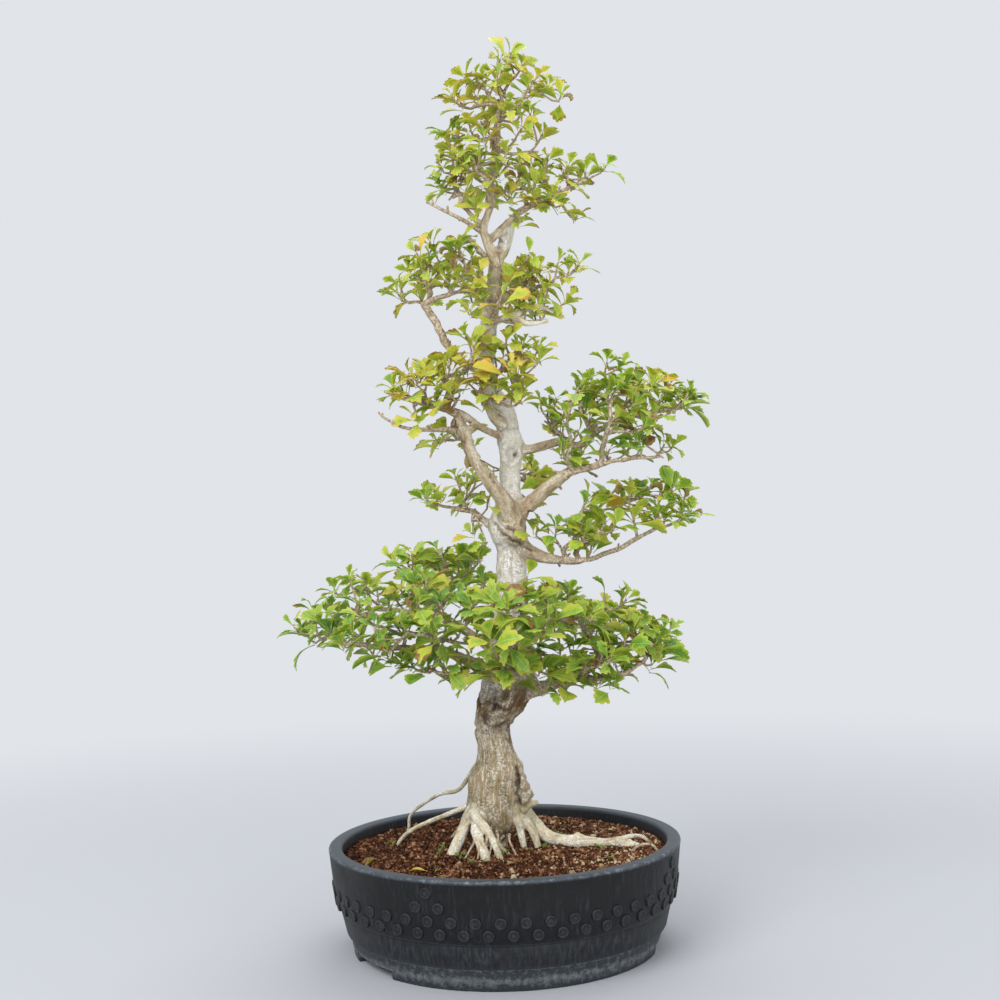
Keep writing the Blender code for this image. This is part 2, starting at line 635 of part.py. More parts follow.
def leaf_frame(direction, roll):
    forward = direction.normalized()
    side = forward.cross(Vector((0, 0, 1)))
    side = side.normalized() if side.length > 0.05 else Vector((1, 0, 0))
    turn = Matrix.Rotation(roll, 3, forward)
    return forward, turn @ side, turn @ side.cross(forward)


def blade_rims(base, frame, length, droop, start=0.0, thickness=LEAF_THICKNESS):
    # The upper and lower outline of a blade arched along its rib and folded across it,
    # from the stalk round the right lobe and the tip to the left lobe, then a point on the rib
    forward, side, up = frame
    half = list(LEAF_OUTLINE)
    outline = [(0.0, start)] + half + [(0.0, 1.0)] + [(-across, along) for across, along in reversed(half)]
    points = []
    for across, along in outline + [(0.0, LEAF_RIB)]:
        lift = -droop * along * along - LEAF_FOLD * abs(across)
        points.append(base + (side * across + forward * along + up * lift) * length)
    points[-1] += up * 0.6
    shift = up * thickness / 2
    return [point + shift for point in points], [point - shift for point in points]


def leaf_mesh(base, frame, length, droop, start=0.0, thickness=LEAF_THICKNESS):
    # A loose blade, split into triangles alike on both faces
    top, bottom = blade_rims(base, frame, length, droop, start, thickness)
    rib = len(top) - 1
    upper = [(0, 1, rib - 1), (rib - 1, 1, rib)] + [(a, a + 1, rib) for a in range(1, rib - 1)]
    under = rib + 1
    faces = upper + [tuple(under + corner for corner in reversed(face)) for face in upper]
    for step in range(rib):
        after = (step + 1) % rib
        faces += [(after, step, under + step), (after, under + step, under + after)]
    return top + bottom, faces


def twig_mesh(stations, sides, frame, length, droop):
    # A twig whose last ring runs on into the stalk of a blade, so the two are one closed skin
    rings = ring_frames(stations)
    point, side, across = rings[-1]
    twist = math.atan2(frame[2].dot(across), frame[2].dot(side)) + math.pi / sides
    verts, faces = tube_mesh(stations, sides, twist=twist)
    faces.pop()
    last = len(verts) - sides
    top, bottom = blade_rims(point, frame, length, droop)
    rib = len(top) - 1
    # The stalk's own point gives way to the ring, so blade corner 1 is the first one kept
    over = len(verts) - 1
    under = over + rib
    verts += top[1:] + bottom[1:]
    right, left = 1, rib - 1
    near_right, near_left = last, last + sides - 1
    floor = list(range(last + 1, last + sides - 1))
    faces += [(near_left, near_right, over + right, over + left),
              (near_right, floor[0], under + right, over + right),
              (floor[-1], near_left, over + left, under + left),
              (*floor, under + left, under + right)]
    upper = [(left, right, rib)] + [(a, a + 1, rib) for a in range(right, left)]
    faces += [tuple(over + corner for corner in face) for face in upper]
    faces += [tuple(under + corner for corner in reversed(face)) for face in upper]
    for step in range(right, left):
        faces += [(over + step + 1, over + step, under + step),
                  (over + step + 1, under + step, under + step + 1)]
    return verts, faces


def bvh_of(verts, faces):
    return BVHTree.FromPolygons([Vector(v) for v in verts], faces)


def object_bvh(item):
    verts = [v.co / MM for v in item.data.vertices]
    faces = [tuple(p.vertices) for p in item.data.polygons]
    return BVHTree.FromPolygons(verts, faces)


def crosses(tree, others):
    return any(tree.overlap(other) for other in others)


def clear_leaf(base, aim, chance, blockers, own):
    # Tries one direction after another until a blade crosses neither its spray nor another node
    for attempt in range(LEAVES_TRIED):
        length = LEAF_LENGTH * chance.uniform(0.88, 1.14)
        droop = LEAF_DROOP * chance.uniform(0.5, 2.2)
        frame = leaf_frame(aim(attempt), chance.uniform(-LEAF_ROLL, LEAF_ROLL))
        thick = LEAF_THICKNESS + 2 * LEAF_CLEARANCE
        probe = leaf_mesh(base, frame, length, droop, STALK_SHARE, thick)
        if not crosses(bvh_of(*probe), blockers + own):
            own.append(bvh_of(*leaf_mesh(base, frame, length, droop, STALK_SHARE)))
            return frame, length, droop
    return None


def twig_with_leaves(stations, sides, side_leaves, chance, blockers, own):
    # One blade ends the twig and bends outward from it; the others stand on its flat sides
    tip, side, across = ring_frames(stations)[-1]
    stem = side.cross(across)
    outward = math.atan2(tip.y, tip.x)

    def lead(attempt):
        angle = outward + chance.uniform(-1.0, 1.0) * (0.8 + 0.1 * attempt)
        flat = Vector((math.cos(angle), math.sin(angle), 0.0))
        return stem * 0.75 + flat * chance.uniform(0.5, 1.0) - Vector((0, 0, chance.uniform(0.0, 0.7)))

    leaf = clear_leaf(tip, lead, chance, blockers, own)
    if leaf is None:
        return [tube_mesh(stations, sides)]
    meshes = [twig_mesh(stations, sides, *leaf)]
    twist = math.atan2(leaf[0][2].dot(across), leaf[0][2].dot(side))
    for index in range(side_leaves):
        first_side = chance.randrange(3)

        def spread(attempt):
            angle = twist + 2 * math.pi / sides * (first_side + attempt)
            rise = stem * chance.uniform(-0.5, 0.5)
            return side * math.cos(angle) + across * math.sin(angle) + rise

        base = tip - stem * SIDE_LEAF_STEP * (index + 1)
        leaf = clear_leaf(base, spread, chance, blockers, own)
        if leaf:
            meshes.append(leaf_mesh(base, *leaf))
    return meshes


def build_sprays(trunk, material):
    chance = random.Random(LEAF_SEED)
    trunk_tree = object_bvh(trunk)
    lines = {}
    trees = {}
    for name, tips in SPRAYS.items():
        blockers = [trunk_tree] + [tree for earlier in trees.values() for tree in earlier]
        start = grow_spray(LIMBS[name], BOUGHS.get(name, ()), tips, chance, blockers)
        lines[name] = chains(start)
        trees[name] = [bvh_of(*tube_mesh(stations, 3)) for stations in lines[name]]
    sprays = []
    for name in SPRAYS:
        others = [trunk_tree] + [tree for other in SPRAYS if other != name for tree in trees[other]]
        meshes = []
        for index, stations in enumerate(lines[name]):
            # The spray's own stem has four sides and the twigs off it three
            sides = 3 if index else 4
            extra = SIDE_LEAVES[index % len(SIDE_LEAVES)]
            meshes += twig_with_leaves(stations, sides, extra, chance, others, trees[name])
        spray = make_object("spray_" + name, *meshes[0])
        # The exact solver leaves a few of these thin joins open
        combine(spray, [make_object("twig", *shape) for shape in meshes[1:]], "UNION", "MANIFOLD")
        keep_largest_shell(spray)
        spray.data.materials.append(material)
        shade(spray)
        sprays.append(spray)
    return sprays


def report_size(items):
    total = 0
    for item in items:
        item.data.calc_loop_triangles()
        count = len(item.data.loop_triangles)
        total += count
        print(item.name, count)
    corners = [item.matrix_world @ Vector(c) for item in items for c in item.bound_box]
    low = [round(min(c[i] for c in corners) / MM, 1) for i in range(3)]
    high = [round(max(c[i] for c in corners) / MM, 1) for i in range(3)]
    print("triangles", total, "from", low, "to", high)


def build():
    remove_everything()
    plastic = make_material("pot_plastic", (0.016, 0.018, 0.021), 0.5)
    mesh_plastic = make_material("screen_plastic", (0.02, 0.02, 0.02), 0.6)
    grit = make_material("soil_grit", (0.09, 0.035, 0.018), 0.95)
    bark = make_material("bark", (0.52, 0.45, 0.36), 0.85)
    leaf = make_material("leaf", (0.16, 0.28, 0.03), 0.55)
    pot = build_pot(plastic)
    screens = build_screens(mesh_plastic)
    soil = build_soil(grit)
    trunk = build_trunk(bark)
    sprays = build_sprays(trunk, leaf)
    tree = bpy.data.objects.new("bonsai", None)
    bpy.context.scene.collection.objects.link(tree)
    for item in [pot, soil, trunk] + screens + sprays:
        item.parent = tree
    report_size([pot, soil, trunk] + screens + sprays)


build()
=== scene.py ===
# Rose of sharon bonsai in a round drum pot: the looks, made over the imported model.
# Sizes are in millimetres until they reach a mesh, where mm turns them into metres.
import json
import math
import random

import bmesh
import bpy
import numpy as np
from mathutils import Matrix, Vector, noise

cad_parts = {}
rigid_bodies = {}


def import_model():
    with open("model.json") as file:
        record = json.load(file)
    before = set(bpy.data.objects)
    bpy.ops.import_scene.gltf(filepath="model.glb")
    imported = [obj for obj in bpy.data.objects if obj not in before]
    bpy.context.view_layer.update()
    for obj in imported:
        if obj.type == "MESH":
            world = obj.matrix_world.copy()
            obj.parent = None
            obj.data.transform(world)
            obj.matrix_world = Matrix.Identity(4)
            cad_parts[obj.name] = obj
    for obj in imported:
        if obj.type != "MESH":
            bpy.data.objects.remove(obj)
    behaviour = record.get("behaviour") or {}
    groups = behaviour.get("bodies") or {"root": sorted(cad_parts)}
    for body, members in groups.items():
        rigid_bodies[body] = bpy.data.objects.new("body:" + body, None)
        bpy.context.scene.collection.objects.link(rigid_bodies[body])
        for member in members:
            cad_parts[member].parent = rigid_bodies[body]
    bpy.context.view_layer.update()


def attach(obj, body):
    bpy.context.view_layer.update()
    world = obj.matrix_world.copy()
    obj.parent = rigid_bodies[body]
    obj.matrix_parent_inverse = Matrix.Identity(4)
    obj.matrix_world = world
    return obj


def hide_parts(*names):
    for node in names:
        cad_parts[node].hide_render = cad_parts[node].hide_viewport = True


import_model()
mm = 0.001
# Settings that several nodes share
smooth = {"interpolation_type": "SMOOTHSTEP"}
mixColour = {"data_type": "RGBA"}
stainColour = {"data_type": "RGBA", "blend_type": "MULTIPLY"}
product = {"operation": "MULTIPLY"}
scaleAndAdd = {"operation": "MULTIPLY_ADD"}


def hexColour(code):
    # sRGB hex to the linear colour that a shader reads
    parts = [int(code[i:i + 2], 16) / 255 for i in (1, 3, 5)]
    return (*[p / 12.92 if p <= 0.04045 else ((p + 0.055) / 1.055) ** 2.4 for p in parts], 1.0)


def feed(tree, node, inputs):
    # Each input gets a value, or a link from a socket or from the first output that a node has in use
    for name, value in inputs.items():
        if isinstance(value, bpy.types.Node):
            value = next(socket for socket in value.outputs if socket.enabled)
        if isinstance(value, bpy.types.NodeSocket):
            tree.links.new(value, node.inputs[name])
        else:
            node.inputs[name].default_value = value


def addNode(tree, kind, settings=None, inputs=None):
    # A new node with its settings and what feeds it
    node = tree.nodes.new(kind)
    for name, value in (settings or {}).items():
        setattr(node, name, value)
    feed(tree, node, inputs or {})
    return node


def setRamp(node, stops):
    ramp = node.color_ramp
    while len(ramp.elements) < len(stops):
        ramp.elements.new(0.5)
    for element, (position, code) in zip(ramp.elements, stops):
        element.position = position
        element.color = hexColour(code)


def newMaterial(name, roughness, ior=1.46):
    material = bpy.data.materials.new(name)
    material.use_nodes = True
    shader = material.node_tree.nodes["Principled BSDF"]
    feed(material.node_tree, shader, {"Roughness": roughness, "IOR": ior})
    return material, material.node_tree, shader


def addObject(name, data):
    thing = bpy.data.objects.new(name, data)
    bpy.context.scene.collection.objects.link(thing)
    return thing


def discard(things):
    for thing in list(things):
        bpy.data.objects.remove(thing, do_unlink=True)


def meshFrom(bm, name):
    mesh = bpy.data.meshes.new(name)
    bm.to_mesh(mesh)
    bm.free()
    return mesh


def meshObject(name, verts, faces, material=None, smoothShaded=True):
    mesh = bpy.data.meshes.new(name)
    mesh.from_pydata([Vector(v) * mm for v in verts], [], faces)
    if smoothShaded:
        mesh.shade_smooth()
    if material:
        mesh.materials.append(material)
    return addObject(name, mesh)


def asPlainMesh(source, name):
    # The evaluated shape as a mesh of its own, with the modifiers gone
    graph = bpy.context.evaluated_depsgraph_get()
    mesh = bpy.data.meshes.new_from_object(source.evaluated_get(graph), depsgraph=graph)
    mesh.name = name
    discard([source])
    return addObject(name, mesh)


def giveValues(mesh, name, kind, values):
    # Stores one value for each vertex as a named attribute
    layer = mesh.attributes.new(name, kind, "POINT")
    layer.data.foreach_set("vector" if kind == "FLOAT_VECTOR" else "value", np.ravel(values))


def addTree(name, sockets):
    # An empty Geometry Nodes tree with named inputs
    tree = bpy.data.node_groups.new(name, "GeometryNodeTree")
    tree.interface.new_socket("Geometry", in_out="INPUT", socket_type="NodeSocketGeometry")
    for label, kind in sockets.items():
        tree.interface.new_socket(label, in_out="INPUT", socket_type="NodeSocket" + kind)
    tree.interface.new_socket("Geometry", in_out="OUTPUT", socket_type="NodeSocketGeometry")
    return tree, tree.nodes.new("NodeGroupInput").outputs, tree.nodes.new("NodeGroupOutput")


def useTree(piece, tree, values):
    # Runs a tree on an object; each input is set by its socket's identifier
    modifier = piece.modifiers.new(tree.name, "NODES")
    modifier.node_group = tree
    for socket in tree.interface.items_tree:
        if socket.in_out == "INPUT" and socket.name in values:
            modifier[socket.identifier] = values[socket.name]


def evenAngles(count):
    return [2 * math.pi * k / count for k in range(count)]


def uniformVector(chance, reach):
    return Vector([chance.uniform(-reach, reach) for _ in range(3)])


def gaussVector(chance, spread):
    return Vector([chance.gauss(0, spread) for _ in range(3)])


def smoothLine(stations, step):
    # Evenly spaced points and radii on a smooth curve through the stations
    radii = [s[3] for s in stations]
    points = [Vector(s[:3]) for s in stations]
    points = [points[0] * 2 - points[1]] + points + [points[-1] * 2 - points[-2]]
    line = []
    for i in range(1, len(points) - 2):
        a, b, c, d = points[i - 1:i + 3]
        count = max(1, round((c - b).length / step))
        for k in range(count):
            t = k / count
            place = (b * 2 + (c - a) * t + (a * 2 - b * 5 + c * 4 - d) * t * t
                     + (b * 3 - a - c * 3 + d) * t ** 3) / 2
            line.append((place, radii[i - 1] + (radii[i] - radii[i - 1]) * t))
    line.append((points[-2], radii[-1]))
    return line


def lineFrames(places):
    # Along, side and across directions at each point, carried along without twist
    frames = []
    side = None
    for i, place in enumerate(places):
        along = (places[min(i + 1, len(places) - 1)] - places[max(i - 1, 0)]).normalized()
        if side is None:
            side = along.cross(Vector((0, 0, 1)) if abs(along.z) < 0.9 else Vector((1, 0, 0)))
        side = (side - along * side.dot(along)).normalized()
        frames.append((along, side, along.cross(side)))
    return frames


def tube(line, sides):
    # A closed tube round a line of points and radii, with a rounded end
    places = [place for place, radius in line]
    rings = [(place, radius, axes) for (place, radius), axes in zip(line, lineFrames(places))]
    place, radius, axes = rings[-1]
    rings.append((place + axes[0] * radius * 0.5, radius * 0.75, axes))
    verts = []
    for place, radius, (along, side, across) in rings:
        for angle in evenAngles(sides):
            verts.append(place + (side * math.cos(angle) + across * math.sin(angle)) * radius)
    faces = [tuple(reversed(range(sides))), tuple(range(len(verts) - sides, len(verts)))]
    for i in range(len(rings) - 1):
        for k in range(sides):
            after = (k + 1) % sides
            faces.append((i * sides + k, i * sides + after, (i + 1) * sides + after, (i + 1) * sides + k))
    return verts, faces


def joined(shapes):
    # Several shapes' vertices and faces as those of one mesh
    verts, faces = [], []
    for moreVerts, moreFaces in shapes:
        faces += [tuple(len(verts) + corner for corner in face) for face in moreFaces]
        verts += moreVerts
    return verts, faces


def spin(profile, angles, lift=None):
    # Turns a profile of radius and height, from the axis out and back to it, into a closed body
    verts, rings = [], []
    for radius, height in profile:
        if radius == 0:
            rings.append([len(verts)] * len(angles))
            verts.append(Vector((0, 0, height)))
        else:
            rings.append(list(range(len(verts), len(verts) + len(angles))))
            for angle in angles:
                z = lift(radius, height, angle) if lift else height
                verts.append(Vector((radius * math.cos(angle), radius * math.sin(angle), z)))
    faces = []
    for low, high in zip(rings, rings[1:]):
        for k in range(len(angles)):
            after = (k + 1) % len(angles)
            face = (low[k], low[after], high[after], high[k])
            faces.append(tuple(dict.fromkeys(face)))
    return verts, [face for face in faces if len(face) > 2]


def done(piece, nodes):
    # Rides a finished piece on the one body and says which nodes it stands for
    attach(piece, "root")
    if nodes:
        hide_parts(*nodes)
    print(piece.name, len(piece.data.loop_triangles), "triangles")


# Camera: a little above the middle of the tree, looking slightly up, as the photo was taken.
# The focal length is in pixels of the photo, and the turns are in degrees.
cameraView = {"focal": 1365.8, "photoWidth": 1000, "sensor": 36.0, "distance": 1400.0, "height": 410.7,
              "rise": 1.57, "roll": 1.71, "swing": 0.23}

cameraData = bpy.data.cameras.new("camera")
cameraData.sensor_width = cameraView["sensor"]
cameraData.lens = cameraView["focal"] * cameraView["sensor"] / cameraView["photoWidth"]
camera = addObject("camera", cameraData)
camera.matrix_world = (Matrix.Translation(Vector((0, -cameraView["distance"], cameraView["height"])) * mm)
                       @ Matrix.Rotation(math.radians(-cameraView["swing"]), 4, "Z")
                       @ Matrix.Rotation(math.radians(90 + cameraView["rise"]), 4, "X")
                       @ Matrix.Rotation(math.radians(-cameraView["roll"]), 4, "Z"))
bpy.context.scene.camera = camera

# Soft daylight through a white cloth: a bright pale sky and wide lamps, with hardly any shadow.
# Lamps are given by place, width in metres and power, and all look at the tree's middle.
daylight = {"sky": "#E1E4E9", "skyStrength": 1.0, "aim": (0, 0, 0.45),
            "lamps": (("key", (-1.3, -1.9, 2.0), 1.6, 50.0), ("fill", (1.2, -2.2, 0.6), 1.8, 26.0),
                      ("top", (0.3, 0.9, 2.6), 1.6, 26.0))}

skyLight = {"Color": hexColour(daylight["sky"]), "Strength": daylight["skyStrength"]}
bpy.context.scene.view_settings.view_transform = "Standard"
world = bpy.data.worlds.new("daylight")
bpy.context.scene.world = world
world.use_nodes = True
feed(world.node_tree, world.node_tree.nodes["Background"], skyLight)
for name, place, width, power in daylight["lamps"]:
    lampData = bpy.data.lights.new(name, "AREA")
    lampData.size = width
    lampData.energy = power
    lamp = addObject(name, lampData)
    lamp.location = place
    lamp.rotation_euler = (Vector(daylight["aim"]) - Vector(place)).to_track_quat("-Z", "Y").to_euler()

# Pale matte floor that fades into the sky's tone far out, so no horizon shows
floorShape = {"radius": 9000.0, "sides": 96, "level": -0.05, "fade": (350.0, 1900.0), "colour": "#B4B6BA"}

floorMaterial, tree, shader = newMaterial("paleFloor", 0.9)
feed(tree, shader, {"Base Color": hexColour(floorShape["colour"])})
place = addNode(tree, "ShaderNodeTexCoord").outputs["Object"]
reach = addNode(tree, "ShaderNodeVectorMath", {"operation": "LENGTH"}, {0: place})
near, far = [distance * mm for distance in floorShape["fade"]]
fade = addNode(tree, "ShaderNodeMapRange", smooth, {"Value": reach, "From Min": near, "From Max": far})
glow = addNode(tree, "ShaderNodeEmission", None, skyLight)
blend = addNode(tree, "ShaderNodeMixShader", None, {0: fade, 1: shader, 2: glow})
feed(tree, tree.nodes["Material Output"], {"Surface": blend})
floorVerts, _ = spin([(floorShape["radius"], floorShape["level"])], evenAngles(floorShape["sides"]))
meshObject("floor", floorVerts, [tuple(range(floorShape["sides"]))], floorMaterial)
print("camera, light and floor")


# Pot: moulded mica-filled plastic, matte and near-black, which weathers to a chalky blue-grey
# on the lip and foot and in thin streaks down the wall
potShape = {
    "segments": 176, "footRadius": 150, "sharpAngle": 40,
    # Notches in the foot: their middles in degrees, the radius they start from, and the slope of
    # their ends in radians
    "notchHeight": 8.0, "notchWidth": 66.0, "notchAngles": (-57.5, 80.5, 191.5), "notchInside": 100,
    "notchDraft": 0.004,
    "drainRadius": 12.0, "drainOffset": 78.0, "drainSides": 40, "drainDepth": 30, "drainLevel": 21,
    "profile": (  # radius and height: underside, foot, ledge, groove, belly, rolled lip, inside, floor
        (0, 18), (66, 18), (90, 18), (139, 18), (140.6, 17), (143.8, 1.2), (144.8, 0), (153.4, 0),
        (154.5, 1), (157.9, 19), (158.2, 20.6), (159.4, 21.4), (161.2, 21.8), (161.8, 23), (164.2, 33),
        (166.5, 42.4), (166.1, 43.4), (166.3, 44.4), (167.6, 45.2), (169.4, 49.4), (171.6, 54.6),
        (173.4, 66), (175, 79), (176.4, 91), (177.2, 99.6), (177.7, 101.6), (177.9, 103), (177.5, 104.2),
        (176.4, 104.9), (174.8, 105), (167.4, 105), (165.8, 104.7), (164.9, 103.9), (164.2, 102.4),
        (162.4, 85), (160, 60), (153.6, 42), (147.4, 26), (144.5, 24), (120, 24), (0, 24)),
    "wall": (8, 29),  # which points of the profile are the outer wall
}
studShape = {
    "perRow": 48, "startAngle": -24.4, "rows": (66.5, 55.0), "pyramids": 4, "pyramidRows": (79.0, 92.5),
    "radius": 5.9, "sides": 20,
    # Share of the radius, height, and how pale the stud is painted there, a painted highlight broken up by
    # wear: most on its ring and in its middle
    "profile": ((0, -1.0, 0.45), (1.0, -1.0, 0), (1.0, 0.2, 0), (0.94, 0.9, 0), (0.86, 1.3, 0.35),
                (0.77, 1.4, 0.5), (0.66, 1.3, 0.4), (0.58, 1.05, 0.12), (0.48, 0.98, 0.08),
                (0.25, 1.1, 0.4), (0, 1.15, 0.45)),
}


def frontAngle(degrees):
    # Angles round the pot count from the front, positive to the right
    return math.radians(degrees - 90)


def notchAngles():
    # Even steps round the pot, with a close pair at each end of a notch so its ends stand upright
    half = potShape["notchWidth"] / 2 / potShape["footRadius"]
    draft = potShape["notchDraft"]
    angles = evenAngles(potShape["segments"])
    for middle in potShape["notchAngles"]:
        for edge in (frontAngle(middle) - half, frontAngle(middle) + half):
            angles += [(edge - draft) % (2 * math.pi), (edge + draft) % (2 * math.pi)]
    return sorted(angles)


def notchLift(radius, height, angle):
    half = potShape["notchWidth"] / 2 / potShape["footRadius"]
    for middle in potShape["notchAngles"]:
        away = (angle - frontAngle(middle) + math.pi) % (2 * math.pi) - math.pi
        if radius > potShape["notchInside"] and abs(away) < half:
            return max(height, potShape["notchHeight"])
    return height


def wallAt(height):
    # Radius and outward lean of the outer wall at a height
    wall = potShape["profile"][slice(*potShape["wall"])]
    for (r0, z0), (r1, z1) in zip(wall, wall[1:]):
        if z0 <= height < z1:
            return r0 + (r1 - r0) * (height - z0) / (z1 - z0), math.atan2(r1 - r0, z1 - z0)


potPlastic, tree, shader = newMaterial("weatheredMicaPlastic", 0.52, 1.5)
place = addNode(tree, "ShaderNodeTexCoord").outputs["Object"]
height = addNode(tree, "ShaderNodeSeparateXYZ", None, {0: place}).outputs["Z"]
stretched = addNode(tree, "ShaderNodeMapping", None, {"Vector": place, "Scale": (1, 1, 0.09)})
streaks = addNode(tree, "ShaderNodeTexNoise", None,  # streaks 2 to 3 mm wide, 30 mm long
                  {"Vector": stretched, "Scale": 330.0, "Detail": 5.0, "Roughness": 0.65})
streakMask = addNode(tree, "ShaderNodeMapRange", None, {"Value": streaks, "From Min": 0.5, "From Max": 0.78})
clouds = addNode(tree, "ShaderNodeTexNoise", None,
                 {"Vector": place, "Scale": 26.0, "Detail": 6.0, "Roughness": 0.6})
cloudMask = addNode(tree, "ShaderNodeMapRange", None, {"Value": clouds, "From Min": 0.38, "From Max": 0.68})
streaky = addNode(tree, "ShaderNodeMath", product, {0: streakMask, 1: cloudMask})
lowWall = addNode(tree, "ShaderNodeMapRange", None,  # a dusty film on the lower wall
                  {"Value": height, "From Min": 50 * mm, "From Max": 36 * mm, "To Max": 0.62})
film = addNode(tree, "ShaderNodeMapRange", None, {"Value": streaks, "From Min": 0.3, "From Max": 0.78})
dusty = addNode(tree, "ShaderNodeMath", product, {0: lowWall, 1: film})
greyed = addNode(tree, "ShaderNodeMath", {"operation": "ADD"}, {0: streaky, 1: dusty})
ledgeHighlight = addNode(tree, "ShaderNodeMath", {"operation": "COMPARE"},  # a painted highlight along the ledge's edge
                {0: height, 1: 45.4 * mm, 2: 0.6 * mm})
wallGrey = addNode(tree, "ShaderNodeMath", scaleAndAdd, {0: ledgeHighlight, 1: 0.5, 2: greyed})
wall = addNode(tree, "ShaderNodeMix", mixColour,
               {0: wallGrey, 6: hexColour("#0C0D0F"), 7: hexColour("#3B3F44")})
bloom = addNode(tree, "ShaderNodeMix", mixColour,
                {0: clouds, 6: hexColour("#1A1E22"), 7: hexColour("#525A63")})
lip = addNode(tree, "ShaderNodeMapRange", smooth,
              {"Value": height, "From Min": 100.5 * mm, "From Max": 104.2 * mm})
foot = addNode(tree, "ShaderNodeMapRange", smooth,
               {"Value": height, "From Min": 26.0 * mm, "From Max": 19.0 * mm})
crust = addNode(tree, "ShaderNodeTexNoise", None,  # scale left by hard water, in a band along the foot, with a painted highlight line on its ledge
                {"Vector": place, "Scale": 190.0, "Detail": 9.0, "Roughness": 0.75})
footHeight = addNode(tree, "ShaderNodeMapRange", None,
                     {"Value": height, "From Min": 0.0, "From Max": 25 * mm})
# The band's pale stop at 0.82, 20.5 mm up on the ledge's edge, is a painted highlight; the rest is the scale
band = addNode(tree, "ShaderNodeValToRGB", None, {"Fac": footHeight})
setRamp(band, ((0.0, "#404040"), (0.2, "#909090"), (0.42, "#B4B4B4"), (0.62, "#6A6A6A"), (0.76, "#747474"),
               (0.82, "#B0B0B0"), (0.87, "#505050"), (0.95, "#000000")))
crustAndHighlightLevel = addNode(tree, "ShaderNodeMath", scaleAndAdd, {0: band, 1: 0.55, 2: crust})
crustAndHighlightShare = addNode(tree, "ShaderNodeMapRange", None,
                     {"Value": crustAndHighlightLevel, "From Min": 0.6, "From Max": 0.98, "To Max": 0.85})
footCrustAndHighlight = addNode(tree, "ShaderNodeMath", product, {0: foot, 1: crustAndHighlightShare})
level = addNode(tree, "ShaderNodeMapping", None, {"Vector": place, "Scale": (1, 1, 0)})
reach = addNode(tree, "ShaderNodeVectorMath", {"operation": "LENGTH"}, {0: level})
outerEdge = addNode(tree, "ShaderNodeMapRange", smooth,  # the lip's scuffed outer edge
                    {"Value": reach, "From Min": 174.5 * mm, "From Max": 177.0 * mm})
lipEdge = addNode(tree, "ShaderNodeMath", product, {0: outerEdge, 1: lip})
chips = addNode(tree, "ShaderNodeMapRange", None,
                {"Value": crust, "From Min": 0.48, "From Max": 0.68, "To Max": 0.7})
scuff = addNode(tree, "ShaderNodeMath", product, {0: lipEdge, 1: chips})
# The studs' pale ring and middle: a painted highlight, broken up by rubbed wear
studRing = addNode(tree, "ShaderNodeAttribute", {"attribute_name": "studHighlightAndWear"}).outputs["Fac"]
rubbed = addNode(tree, "ShaderNodeMapRange", None, {"Value": crust, "From Min": 0.35, "From Max": 0.6})
studHighlightAndWear = addNode(tree, "ShaderNodeMath", product, {0: studRing, 1: rubbed})
colour = wall
for share, layer in ((lip, bloom), (foot, hexColour("#2E3337")), (footCrustAndHighlight, hexColour("#8C9193")),
                     (scuff, hexColour("#8E949A")), (studHighlightAndWear, hexColour("#3E444A"))):
    colour = addNode(tree, "ShaderNodeMix", mixColour, {0: share, 6: colour, 7: layer})
rough = addNode(tree, "ShaderNodeMapRange", None,
                {"Value": clouds, "From Min": 0.3, "From Max": 0.7, "To Min": 0.42, "To Max": 0.62})
grain = addNode(tree, "ShaderNodeTexNoise", None, {"Vector": place, "Scale": 900.0, "Detail": 2.0})
bump = addNode(tree, "ShaderNodeBump", None, {"Strength": 0.25, "Distance": 0.3 * mm, "Height": grain})
feed(tree, shader, {"Base Color": colour, "Roughness": rough, "Normal": bump,
                    "Specular IOR Level": 0.32})  # its chalky bloom dulls the gloss

pot = meshObject("potBody", *spin(potShape["profile"], notchAngles(), notchLift), potPlastic)
pot.data.set_sharp_from_angle(angle=math.radians(potShape["sharpAngle"]))
drains = []
for side in (-1, 1):
    bpy.ops.mesh.primitive_cylinder_add(
        vertices=potShape["drainSides"], radius=potShape["drainRadius"] * mm,
        depth=potShape["drainDepth"] * mm,
        location=(side * potShape["drainOffset"] * mm, 0, potShape["drainLevel"] * mm))
    drains.append(bpy.context.object)
    cut = pot.modifiers.new("drain", "BOOLEAN")
    cut.object = drains[-1]
    cut.solver = "EXACT"
pot = asPlainMesh(pot, "potBody")
discard(drains)
done(pot, ["pot"])

# Studs: one small button with a raised ring, set by Geometry Nodes on points that face outwards
studTree, given, result = addTree("potStuds", {"Stud": "Object", "Stud Size": "Float",
                                               "Material": "Material"})
facing = addNode(studTree, "GeometryNodeInputNamedAttribute", {"data_type": "FLOAT_VECTOR"},
                 {"Name": "facing"})
turn = addNode(studTree, "FunctionNodeAlignRotationToVector", {"axis": "Z"}, {"Vector": facing})
stud = addNode(studTree, "GeometryNodeObjectInfo", None, {"Object": given["Stud"]}).outputs["Geometry"]
studs = addNode(studTree, "GeometryNodeInstanceOnPoints", None,
                {"Points": given["Geometry"], "Instance": stud, "Rotation": turn,
                 "Scale": given["Stud Size"]})
real = addNode(studTree, "GeometryNodeRealizeInstances", None, {"Geometry": studs})
finished = addNode(studTree, "GeometryNodeSetMaterial", None,
                   {"Geometry": real, "Material": given["Material"]})
feed(studTree, result, {0: finished})

studProfile = [(share * studShape["radius"], height) for share, height, _ in studShape["profile"]]
studVerts, studFaces = spin(studProfile, evenAngles(studShape["sides"]))
studModel = meshObject("studModel", studVerts, studFaces)
studHighlights = {share: highlightShare for share, _, highlightShare in studShape["profile"]}
giveValues(studModel.data, "studHighlightAndWear", "FLOAT",
           [studHighlights[round(v.xy.length / studShape["radius"], 2)] for v in studVerts])

